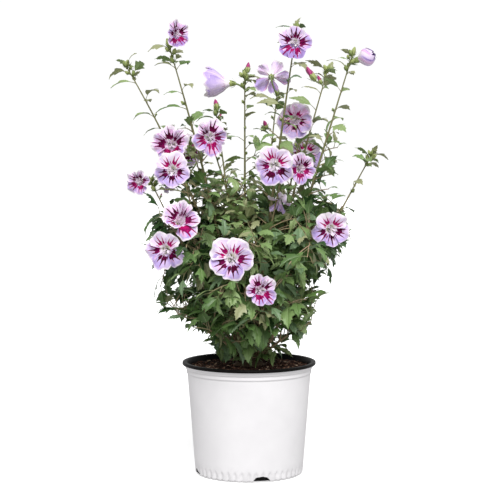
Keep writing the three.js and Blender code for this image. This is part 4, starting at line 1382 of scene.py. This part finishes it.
# The few buds that show colour: (place, way as turn and lift, length, petals shown)
COLOURED_BUDS = (
    ((135, -88, 822), (160, 52), 26, 0.55),
    ((-66, -40, 764), (110, 60), 20, 0.3),
    ((36, -50, 726), (250, 40), 18, 0.35),
    ((-4, -60, 838), (70, 66), 20, 0.3),
)
AXIL_BUDS, TIP_BUDS = 9, 5  # buds along a cane, and how many of them are close together at its tip
BARE_SHARE, COLOUR_SHARE = 0.45, 0.12  # of the axils with no bud, and of the buds with petals that show


def tip_buds(limb, key):
    """The solids' own buds at a limb's tip."""
    tangent = limb.path.tangent(1)
    foot = limb.path.at(1) - 3 * tangent
    for index in range(limb.buds):
        turn = TURN_DEGREES * chance(key, index, DRAW_BUD_TURN)
        way = heading(turn, between(-5, 40, key, index, DRAW_BUD_LIFT))
        length = between(22, 30, key, index, DRAW_BUD_LENGTH)
        ahead = unit(tangent + (1.1 * way if index else 0))
        yield Bud(foot, ahead, length * 0.85, 4.6, 0.0, key * 31 + index)


def axil_buds(plant, limb, key):
    """More buds in a cane's upper axils."""
    for index in range(AXIL_BUDS):
        at_tip = index < TIP_BUDS
        share = 0.99 - 0.012 * index if at_tip else 0.99 - 0.09 * (index - TIP_BUDS + 1)
        out = round_point(limb.path.tangent(share), GOLDEN_ANGLE * index + key)
        along = unit(limb.path.tangent(share) * 0.8 + out + np.array((0, 0, 0.5)))
        root = limb.path.at(share)
        is_bare = not at_tip and chance(key, index, DRAW_BUD, 3) < BARE_SHARE
        if is_bare or plant.in_bloom_room(np.array([root + along * 10])):
            continue
        size = between(11, 19, key, index, DRAW_SIZE) * (1 if at_tip else 0.7)
        petals = 0.28 if chance(key, index, DRAW_BUD, 2) < COLOUR_SHARE else 0.0
        yield Bud(root + along * 5, along, size, size * 0.23, petals, key * 77 + index)


def plan_buds(plant):
    for key, limb in enumerate(plant.limbs.values()):
        yield from tip_buds(limb, key)
        if not limb.is_branch:
            yield from axil_buds(plant, limb, key)
    for index, (place, way, length, petals) in enumerate(COLOURED_BUDS):
        yield Bud(np.array(place, float), heading(*way), length, length * 0.25, petals, 900 + index)


# ---- Blooms ----

PETALS, ANTHERS, STIGMAS = 5, 18, 5
THROAT = 3.0
STREAKS, STREAK_SPACING = 5, 0.39  # dark streaks on a petal, apart by this share of half its width
GAP_LINES = 3  # faces across the gap beside a streak
HALO_SIDE = 0.92  # how far to a petal's sides the pink round the streaks goes, as a share of half its width


@dataclass
class Form:
    """How a bloom's petals stand, as shares of a petal's length: recurve bends the edges back, ruffle waves
    them, tilt lifts one side over its neighbour, twist turns the petal, notch rounds its shoulders off,
    steep stands it up at the foot and uneven makes the petals differ. half_angle is a petal's. Then how far
    the petals are flushed pink and shaded lavender, partly their own lavender and partly painted shade that
    grows on the lower petals, the size of the dark eye, how solid its blots are, and whether the lower blots
    are the bright ones; otherwise they are darker, as painted shade. A ball is still closed. standing and
    inner count the extra petals, upright and small."""

    recurve: float = 0.45
    ruffle: float = 0.08
    tilt: float = 0.14
    half_angle: float = 46.0
    twist: float = 0.0
    flush: float = 0.0
    shade: float = 0.5
    eye: float = 1.0
    blot: float = 0.5
    bright_below: bool = False
    uneven: float = 0.9
    steep: float = 1.0
    ball: bool = False
    standing: int = 0
    inner: int = 3
    notch: float = 0.27


RAGGED = Form(
    ruffle=0.12, tilt=0.26, half_angle=42, flush=0.6, eye=1.1, blot=0.8, bright_below=True, uneven=1.1,
    standing=1,
)
FORMS = {
    "open": Form(),
    "ragged": RAGGED,
    "nodding": replace(RAGGED, recurve=0.3, half_angle=46, shade=0.8, eye=1.15),
    "double": replace(RAGGED, ruffle=0.1, tilt=0.3, half_angle=46, flush=0.5, eye=1.15, blot=0.5, uneven=1.0),
    "violet": Form(half_angle=50, shade=0.95, eye=1.15, blot=0.7, bright_below=True, uneven=0.5),
    "trumpet": Form(
        recurve=-0.6, ruffle=0.02, tilt=0.05, half_angle=58, shade=0.6, eye=0.42, uneven=0.05, steep=0.0,
        inner=0, notch=0.03,
    ),
    "limp": Form(
        recurve=0.5, ruffle=0.1, tilt=0.3, half_angle=31, flush=0.7, shade=0.6, eye=0.4, uneven=1.2, inner=0
    ),
    "faded": Form(recurve=-0.2, half_angle=50, flush=1.3, shade=0.55, eye=0.8, blot=0.9, uneven=0.5, inner=1),
    "opening": Form(
        recurve=-0.9, half_angle=52, twist=0.9, flush=0.5, shade=0.85, eye=0.3, ball=True, inner=0
    ),
}
HUES = 13  # tones of a petal, from white through the main colour and the shade to dusk; the darker ones are partly painted shade
EYE_TONES = 6  # tones of the eye after them, from rose through crimson to maroon
WHITE, PINK, CREAM = 0, HUES + EYE_TONES, HUES + EYE_TONES + 1


def blend_tones(stops, count):
    """Colours evenly along a list of colours."""
    places, marks = np.linspace(0, len(stops) - 1, count), range(len(stops))
    channels = [np.interp(places, marks, channel) for channel in zip(*stops)]
    return list(zip(*channels))


def petal_finishes():
    petal, shade = colour("petal"), colour("petal_shade")
    dusk = tinted(shade, 1.0, linear(146, 112, 190), 0.6)
    tones = blend_tones([linear(252, 242, 251), petal, shade, dusk], HUES)
    rose, crimson, maroon = linear(214, 92, 172), linear(130, 10, 86), linear(76, 0, 42)
    tones += blend_tones([rose, colour("eye"), crimson, maroon], EYE_TONES)
    tones += [tinted(petal, 1.0, linear(238, 158, 212), 0.5), linear(254, 249, 232)]
    finishes = []
    for index, tone in enumerate(tones):
        sheen, specular = (0.0, 0.1) if HUES <= index < PINK else (0.25, 0.3)
        finishes.append(plain_finish(f"petal_{index}", tone, 0.62, sheen, specular))
    return finishes


@dataclass
class Petal:
    """One petal: lowness is 1 on the lowest petals and 0 on the highest. Its dark streaks lie side by side:
    their middles across it, and how far out they start, part and end."""

    form: Form
    index: int
    key: int
    lowness: float

    def __post_init__(self):
        form, order = self.form, np.arange(STREAKS)
        draws = np.array([self.draw(DRAW_STREAK + count) for count in range(STREAKS)])
        others = np.array([self.draw(DRAW_BLOT + count) for count in range(STREAKS)])
        self.middles = (order - (STREAKS - 1) / 2 + 0.3 * (draws - 0.5)) * STREAK_SPACING
        aside = (self.middles / (STREAKS // 2 * STREAK_SPACING)) ** 2
        self.solid = min(1.0, form.blot + 0.75 * self.lowness)
        self.feet = 0.18 + 0.05 * others + 0.1 * aside
        self.blots = form.eye * lerp(0.48, 0.6, self.solid) * (1 - 0.22 * aside) * (0.92 + 0.16 * others)
        self.ends = self.blots + form.eye * (0.13 + 0.24 * draws) * (1 - 0.4 * aside)

    def draw(self, *keys):
        return chance(self.key, self.index, *keys)

    def between(self, low, high, *keys):
        return lerp(low, high, self.draw(*keys))


def streak_lines(share, petal):
    """Where the lines of points lie across a petal, from -1 to 1, at each share of its length. They follow
    the streaks: pointed at the foot, broad in the blot, tapering to the end."""
    share = share[:, None]
    blots = petal.blots
    broad = 0.5 * STREAK_SPACING * lerp(0.86, 1.0, petal.solid)
    opened = smooth((share - petal.feet) / 0.09)
    blot_left = 1 - smooth((share - 0.78 * blots) / (0.3 * blots))
    line_left = 1 - smooth((share - 0.8 * blots) / (petal.ends - 0.8 * blots))
    widths = broad * np.clip(opened * np.maximum(blot_left, 0.42 * line_left**0.5), 0.05, 1)
    last = np.full(len(share), -1.0)
    lines = [last]
    for index in range(STREAKS + 1):
        near = petal.middles[index] - widths[:, index] if index < STREAKS else np.ones(len(share))
        lines += [lerp(last, near, part / GAP_LINES) for part in range(1, GAP_LINES + 1)]
        if index < STREAKS:
            last = petal.middles[index] + widths[:, index]
            lines += [np.full(len(share), petal.middles[index]), last]
    return np.stack(lines, axis=1)


def petal_grid(bloom, petal, rows):
    """The points of one petal in the bloom's own axes: (outward, to the side, ahead)."""
    form, own = petal.form, petal.form.uneven
    side = streak_lines(np.linspace(0, 1, rows), petal)
    share = np.repeat(np.linspace(0, 1, rows)[:, None], side.shape[1], axis=1)
    start = TURN * petal.draw(DRAW_START)
    rim = 1 - form.notch * np.abs(side) ** 2.4
    rim += (0.02 * np.cos(6 * side + start) + 0.016 * np.cos(13 * side - start)) * share**2
    rim -= 0.08 * np.exp(-(((side - 0.3 * math.sin(start)) / 0.2) ** 2)) * share**3 * petal.draw(DRAW_DENT)
    reach = share * rim
    spread = math.radians(form.half_angle) * petal.between(1 - 0.12 * own, 1.04)
    angle = side * spread * (0.7 + 0.3 * smooth(reach * 2.4))
    steep = form.steep * math.radians(petal.between(8, 16, DRAW_STEEP)) * (1 - smooth(reach * 1.8))
    lean = math.radians(bloom.cup) + steep + own * petal.between(-0.3, 0.25, DRAW_CUP) * smooth(reach * 2)
    lean = lean - form.recurve * smooth((reach - 0.5) * 1.9) * petal.between(0.4, 1.6, DRAW_RECURVE)
    step = 1 / (rows - 1)
    outward = np.cumsum(np.cos(lean) * step, axis=0) * rim + 0.04
    ahead = np.cumsum(np.sin(lean) * step, axis=0) * rim
    ripple = form.ruffle * reach**3 * np.sin(side * petal.between(3.5, 6.5, DRAW_RUFFLE) + start)
    ripple += 0.008 * reach * np.sin(angle * 24 + start)
    ripple += 0.045 * reach**2 * np.sin(side * 7 + reach * 8 + start)
    ripple += 0.03 * smooth((reach - 0.7) * 3) * np.sin(side * 17 + 2 * start)
    cupped = 0.14 * side**2 * smooth(reach * 2) * (1 - reach)
    tilt = form.tilt * side * smooth(reach * 1.6) * petal.between(-0.7, 1.0, DRAW_TILT)
    ahead += 0.12 * (0.5 - petal.lowness) * smooth(reach * 2.5) + ripple
    ahead += cupped + tilt - THROAT / bloom.petal * (1 - smooth(reach * 4))
    angle = angle + form.twist * reach
    if form.ball:
        outward = 0.1 + 0.62 * np.sin(np.clip(reach, 0, 1) * math.pi * 0.86 + 0.2)
        ahead, angle = reach * 1.35, angle + reach * 1.2
    size = bloom.petal * petal.between(1 - 0.13 * own, 1 + 0.03 * own, DRAW_SIZE)
    return np.stack((outward * np.cos(angle), outward * np.sin(angle), ahead), -1) * size, reach, side


def petal_colours(petal, reach, side):
    """Which tone each face of a petal is dealt: white at its foot, the streaks and the blot where they
    meet, and round them the petal's own hues, with painted shade on the lower petals, on the overlapped
    sides and in a ball's folds, and a painted highlight along the rim."""
    form, lowness = petal.form, petal.lowness
    reach = (reach[1:, 1:] + reach[:-1, :-1]) / 2
    side = (side[1:, 1:] + side[:-1, :-1]) / 2
    generator = np.random.default_rng(1000 * petal.key + petal.index)
    draw = generator.random(reach.shape)
    vein = generator.random(reach.shape[1])[None, :]
    start = TURN * petal.draw(DRAW_PATCH)

    patch = np.sin(side * 3.1 + start) * np.cos(reach * 5 + 2 * start)
    # Painted shade: the lower petals are dealt darker lavender, except on a trumpet, whose petals are all
    # dealt alike so that its lit top petal is not white.
    shaded = lowness if form.steep else 0.6
    hue = form.shade * (0.35 + 0.75 * shaded) + 0.14 * patch + 0.2 * (vein - 0.5) + 0.06 * (draw - 0.5)
    # Lavender growing outwards and white at the foot are the petal's own; the darker lavender on both sides,
    # where the petals overlap, is painted shade.
    hue += 0.3 * (reach - 0.62) + 0.24 * smooth((np.abs(side) - 0.66) * 3) - 0.3 * smooth((0.34 - reach) * 5)
    if form.ball:
        # Painted shade: a ball's petals are darker along their edges, in the folds where they overlap.
        hue += 0.7 * smooth((np.abs(side) - 0.5) * 2.4) * smooth((reach - 0.3) * 2) - 0.1
    else:
        # Painted highlight: a thin whiter band along the rim.
        hue -= between(0.3, 0.8, petal.key, DRAW_RIM) * smooth((reach / reach.max(axis=0) - 0.9) * 10)
    dealt = np.clip(np.round(hue * (HUES - 1)), 0, HUES - 1).astype(int)

    block, within = np.divmod(np.arange(reach.shape[1]), GAP_LINES + 2)
    on_streak = within >= GAP_LINES
    own, before = np.clip(block, 0, STREAKS - 1), np.clip(block - 1, 0, STREAKS - 1)
    foot, blot, end = petal.feet[own], petal.blots[own], petal.ends[own]
    cracked = np.array([petal.draw(DRAW_CRACK + count) < 0.3 for count in range(STREAKS + 1)])[block]
    halo = (reach > foot) & (reach < blot * 1.16) & (np.abs(side) < HALO_SIDE)
    dealt[halo & (vein < 0.4 + 0.4 * form.flush) | (vein < 0.35 * form.flush) & (reach < 0.8)] = PINK
    gap_foot = np.maximum(foot, petal.feet[before]) + 0.015
    gap_end = np.minimum(blot, petal.blots[before]) * (0.5 + 0.45 * petal.solid)
    in_gap = ~on_streak & (block > 0) & (block < STREAKS) & ~cracked
    dark = on_streak & (reach > foot) & (reach < end) | in_gap & (reach > gap_foot) & (reach < gap_end)
    progress = (reach - foot) / (end - foot)
    # Painted shade: the lower petals' blots are dealt darker, towards maroon. Forms with bright_below deal
    # the upper petals' blots darker instead.
    depth = 1 - lowness if form.bright_below else lowness
    level = 1.8 + 2.3 * depth + smooth(progress * 2) - 3.0 * smooth((progress - 0.78) * 5)
    level += 0.8 * (draw - 0.5)
    eye_tone = HUES + np.clip(np.round(level), 0, EYE_TONES - 1).astype(int)
    dealt[dark] = eye_tone[dark]
    return dealt.ravel()


def add_petal(stock, bloom, form, index, key, turn, rows):
    ahead = heading(*bloom.facing)
    out = round_point(ahead, turn)
    petal = Petal(form, index, key, float(smooth(0.5 - 0.7 * out[2])))
    local, reach, side = petal_grid(bloom, petal, rows)
    points = np.array(bloom.centre) + local @ np.stack((out, np.cross(ahead, out), ahead))
    stock.add(points.reshape(-1, 3), grid(*reach.shape), petal_colours(petal, reach, side))


def add_bloom(stock, bloom, key):
    """Five petals, one of them lowest, then the extra ones: upright at the back, small round the heart."""
    form, rows = FORMS[bloom.form], sizes().petal_rows
    spin = -TURN / 4 + between(-0.4, 0.4, key, DRAW_SPIN)
    for index in range(PETALS):
        turn = spin + TURN * index / PETALS + between(-0.12, 0.12, key, index, DRAW_PETAL_TURN)
        add_petal(stock, bloom, form, index, key, turn, rows)
    upright = replace(form, half_angle=17, recurve=-0.4, uneven=0.3)
    taller = replace(bloom, petal=bloom.petal * 0.95, cup=bloom.cup + 22)
    for index in range(PETALS, PETALS + form.standing):
        turn = TURN / 4 + between(-0.8, 0.8, key, index, DRAW_PETAL_TURN)
        add_petal(stock, taller, upright, index, key, turn, rows * 2 // 3)
    small = replace(form, half_angle=20, recurve=-0.4, ruffle=0.2, eye=0.1, shade=0.1, uneven=0.6)
    for index in range(PETALS + 1, PETALS + 1 + form.inner):
        turn = spin + TURN * (index - PETALS - 0.5) * 2 / PETALS
        turn += between(-0.2, 0.2, key, index, DRAW_PETAL_TURN)
        size = bloom.petal * between(0.32, 0.46, key, index, DRAW_PETAL_SIZE)
        add_petal(stock, replace(bloom, petal=size, cup=bloom.cup + 28), small, index, key, turn, rows // 2)
    if not form.ball:
        add_column(stock, bloom, key)


def add_column(stock, bloom, key):
    """The column of stamens: a tapering tube set with anthers, and five stigmas."""
    ahead = heading(*bloom.facing)
    first, second = across(ahead)
    centre = np.array(bloom.centre, float)
    length = min(16.0, bloom.petal * 0.4)
    lean = first * between(-1, 1, key, DRAW_LEAN_X) + second * between(-1, 1, key, DRAW_LEAN_Y)
    tilt = unit(ahead + 0.3 * lean)
    tip = centre + tilt * length
    path = bend(centre - ahead * THROAT, centre + ahead * length * 0.4, tip, 8).points
    stock.add_tube(path, np.linspace(1.6, 0.7, 8), 8, WHITE, capped=True)
    for index in range(ANTHERS):
        foot = lerp(centre, tip, 0.45 + 0.5 * index / ANTHERS)
        out = round_point(ahead, GOLDEN_ANGLE * index)
        end = foot + out * between(1.2, 2.4, key, index, DRAW_ANTHER) + ahead
        stock.add_tube([foot, end], [0.2, 0.18], 3, WHITE, capped=True)
        finish = CREAM if index % 2 else WHITE
        stock.add_tube([end - ahead * 0.6, end, end + ahead * 0.6], [0.2, 0.62, 0.2], 5, finish)
    for index in range(STIGMAS):
        out = round_point(ahead, TURN * index / STIGMAS)
        stigma = [tip, tip + tilt * 1.6 + out, tip + tilt * 2.4 + out * 2.2]
        stock.add_tube(stigma, [0.3, 0.35, 0.8], 5, WHITE)


def add_bloom_foot(stock, bloom, root, key):
    """The stalk from the cane, and the calyx that holds the petals."""
    ahead = heading(*bloom.facing)
    is_ball = FORMS[bloom.form].ball
    back = THROAT + 2.0 + (bloom.petal * 0.3 if is_ball else 0)
    seat = np.array(bloom.centre, float) - ahead * back
    stalk = bend(root, seat - ahead * np.linalg.norm(seat - root) / 2, seat, 9).points
    stock.add_tube(stalk, np.linspace(1.5, 1.9, 9), 6, SCALE_FINISH)
    add_calyx(stock, seat - ahead * 5, ahead, 24 if is_ball else 17, 6.4, 0.75, key, 8)


# ---- Operators ----

MASS_NODES = [name for name in frame["nodes"] if name.startswith(("shoot_", "foliage_"))]


def gathered(add, items, *others):
    """A stock with each of the items added."""
    stock = Stock()
    for item in items:
        add(stock, item, *others)
    return stock


class SHRUB_OT_pot(bpy.types.Operator):
    """Build the nursery pot"""

    bl_idname = "shrub.pot"
    bl_label = "Pot"

    def execute(self, context):
        piece = make_pot().make("nursery_pot", [pot_finish(), lip_finish()])
        settle(piece, "pot_white", "pot")
        return {"FINISHED"}


class SHRUB_OT_potting_mix(bpy.types.Operator):
    """Fill the pot with potting mix and loose bark chips"""

    bl_idname = "shrub.potting_mix"
    bl_label = "Potting mix"

    def execute(self, context):
        settle(make_soil().make("potting_mix", [soil_finish()]), "potting_mix", "soil")
        settle(make_chips().make("bark_chips", chip_finishes(), False), "potting_mix", "soil")
        return {"FINISHED"}


class SHRUB_OT_wood(bpy.types.Operator):
    """Build the crown and the canes with their bark"""

    bl_idname = "shrub.wood"
    bl_label = "Crown and canes"

    def execute(self, context):
        limbs, relief, bark = grow_plant().limbs.values(), sizes().bark_relief / MM, bark_finish()
        crown = Stock()
        add_crown(crown, relief)
        settle(crown.make("woody_crown", [bark]), "crown_bark", "crown")
        names = [("bough_" if limb.is_branch else "cane_") + limb.name for limb in limbs]
        settle(gathered(add_cane, limbs, relief).make("canes_and_boughs", [bark]), "cane_bark", *names)
        return {"FINISHED"}


class SHRUB_OT_twigs(bpy.types.Operator):
    """Build the leafy twigs and the leaves' stalks"""

    bl_idname = "shrub.twigs"
    bl_label = "Twigs"

    def execute(self, context):
        plant = grow_plant()
        stock = gathered(add_twig, (twig for twig in plant.twigs if twig.depth and twig.used))
        for leaf in plant.leaves:
            add_stalk(stock, leaf)
        settle(stock.make("twigs_and_stalks", twig_finishes()), "shoot", *MASS_NODES)
        return {"FINISHED"}


class SHRUB_OT_leaves(bpy.types.Operator):
    """Build the leaves, those of the shoots and of the bush apart"""

    bl_idname = "shrub.leaves"
    bl_label = "Leaves"

    def execute(self, context):
        finishes = leaf_finishes()
        lowest = -math.inf
        for name, highest in LEAF_BANDS:
            leaves = [leaf for leaf in grow_plant().leaves if lowest <= leaf.root[2] < highest]
            settle(gathered(add_leaf, leaves).make(name, finishes), "leaf", *MASS_NODES)
            lowest = highest
        return {"FINISHED"}


class SHRUB_OT_buds(bpy.types.Operator):
    """Build the flower buds and the blooms' stalks and calyces"""

    bl_idname = "shrub.buds"
    bl_label = "Buds"

    def execute(self, context):
        plant = grow_plant()
        stock = gathered(add_bud, plan_buds(plant))
        for key, (bloom, root) in enumerate(plant.blooms):
            add_bloom_foot(stock, bloom, root, key)
        settle(stock.make("buds_and_calyces", bud_finishes()), "shoot", *MASS_NODES)
        return {"FINISHED"}


class SHRUB_OT_blooms(bpy.types.Operator):
    """Build the open blooms"""

    bl_idname = "shrub.blooms"
    bl_label = "Blooms"

    def execute(self, context):
        stock = Stock()
        for key, (bloom, _) in enumerate(grow_plant().blooms):
            add_bloom(stock, bloom, key)
        settle(stock.make("blooms", petal_finishes()), "shoot", *MASS_NODES)
        return {"FINISHED"}


FLOOR_HALF, SKY_RADIUS, SKY_ROWS, SKY_COLUMNS = 13000.0, 14000.0, 17, 48
AIR_LIGHT, KEY_LIGHT, KEY_SPREAD, KEY_PLACE = 0.58, 2.45, 34, (0.26, -1.9, 2.2)
CAMERA_PLACE, CAMERA_TARGET, CAMERA_LENS = (0.002, -3.5, 0.735), (0.002, 0, 0.470), 120.6
BLACK, FULL_LIGHT = (0.0, 0.0, 0.0), (1.0, 1.0, 1.0)


class SHRUB_OT_stage(bpy.types.Operator):
    """Set out the floor, the soft lights and the camera"""

    bl_idname = "shrub.stage"
    bl_label = "Studio"

    def execute(self, context):
        scene = context.scene
        piece = make_floor()
        make_sky_dome()
        scene.world = bpy.data.worlds.new("studio_air")
        scene.world.use_nodes = True
        tree = scene.world.node_tree
        set_sockets(tree, tree.nodes["Background"], {"Color": FULL_LIGHT, "Strength": AIR_LIGHT})
        lamp = bpy.data.lights.new("soft_key", "SUN")
        lamp.energy, lamp.angle = KEY_LIGHT, math.radians(KEY_SPREAD)
        stand_at(place_in_scene("soft_key", lamp), KEY_PLACE, (0, 0, 0))
        scene.view_settings.view_transform = "Standard"
        camera = bpy.data.cameras.new("studio_camera")
        camera.lens = CAMERA_LENS
        scene.camera = place_in_scene("studio_camera", camera)
        stand_at(scene.camera, CAMERA_PLACE, CAMERA_TARGET)
        return {"FINISHED"}


def stand_at(thing, place, target):
    """Puts a lamp or camera at a place, turned to a target."""
    thing.location = place
    thing.rotation_euler = (Vector(target) - thing.location).to_track_quat("-Z", "Y").to_euler()


def make_floor():
    made = Finish("studio_floor", 0.9, 0.2, **{"Emission Color": FULL_LIGHT, "Emission Strength": 0.4})
    pale = colour("ground")
    finish = made.finished(made.fade(made.noise(4, 3), 0.3, 0.7, pale, tinted(pale, 0.99)))
    corners = [(x * FLOOR_HALF, y * FLOOR_HALF, -1) for x, y in ((-1, -1), (1, -1), (1, 1), (-1, 1))]
    stock = Stock()
    stock.add(corners, [(0, 1, 2, 3)])
    piece = stock.make("studio_floor", [finish], False)
    piece.visible_diffuse = piece.visible_glossy = False
    return piece


def make_sky_dome():
    """A white shell far outside the studio, which lights nothing and is only seen."""
    points = []
    for row in range(SKY_ROWS):
        rise = math.pi * (row / (SKY_ROWS - 1) - 0.5) * 0.998
        level, height = SKY_RADIUS * math.cos(rise), SKY_RADIUS * math.sin(rise)
        for column in range(SKY_COLUMNS):
            turn = TURN * column / SKY_COLUMNS
            points.append((level * math.cos(turn), level * math.sin(turn), height))
    sockets = {"Base Color": BLACK, "Emission Color": FULL_LIGHT, "Emission Strength": 1.0}
    material, _ = new_material("white_sky", sockets)
    stock = Stock()
    stock.add(points, grid(SKY_ROWS, SKY_COLUMNS, closed=True))
    dome = stock.make("white_sky", [material])
    dome.visible_diffuse = dome.visible_glossy = dome.visible_transmission = dome.visible_shadow = False
    return dome


OPERATORS = (
    SHRUB_OT_pot, SHRUB_OT_potting_mix, SHRUB_OT_wood, SHRUB_OT_twigs,
    SHRUB_OT_leaves, SHRUB_OT_buds, SHRUB_OT_blooms, SHRUB_OT_stage,
)


class VIEW3D_PT_shrub(bpy.types.Panel):
    """Panel with the shrub's settings and steps"""

    bl_label = "Rose of sharon"
    bl_space_type = "VIEW_3D"
    bl_region_type = "UI"
    bl_category = "Shrub"

    def draw(self, context):
        for group in (context.scene.shrub_sizes, context.scene.shrub_colours):
            for key in group.bl_rna.properties.keys():
                if key not in ("rna_type", "name"):
                    self.layout.prop(group, key)
        for operator in OPERATORS:
            self.layout.operator(operator.bl_idname)


CLASSES = (ShrubSizes, ShrubColours, *OPERATORS, VIEW3D_PT_shrub)


def register():
    for item in CLASSES:
        bpy.utils.register_class(item)
    bpy.types.Scene.shrub_sizes = bpy.props.PointerProperty(type=ShrubSizes)
    bpy.types.Scene.shrub_colours = bpy.props.PointerProperty(type=ShrubColours)


def unregister():
    del bpy.types.Scene.shrub_colours
    del bpy.types.Scene.shrub_sizes
    for item in reversed(CLASSES):
        bpy.utils.unregister_class(item)


def main():
    register()
    for operator in OPERATORS:
        getattr(bpy.ops.shrub, operator.bl_idname.split(".")[1])()


if __name__ == "__main__":
    main()
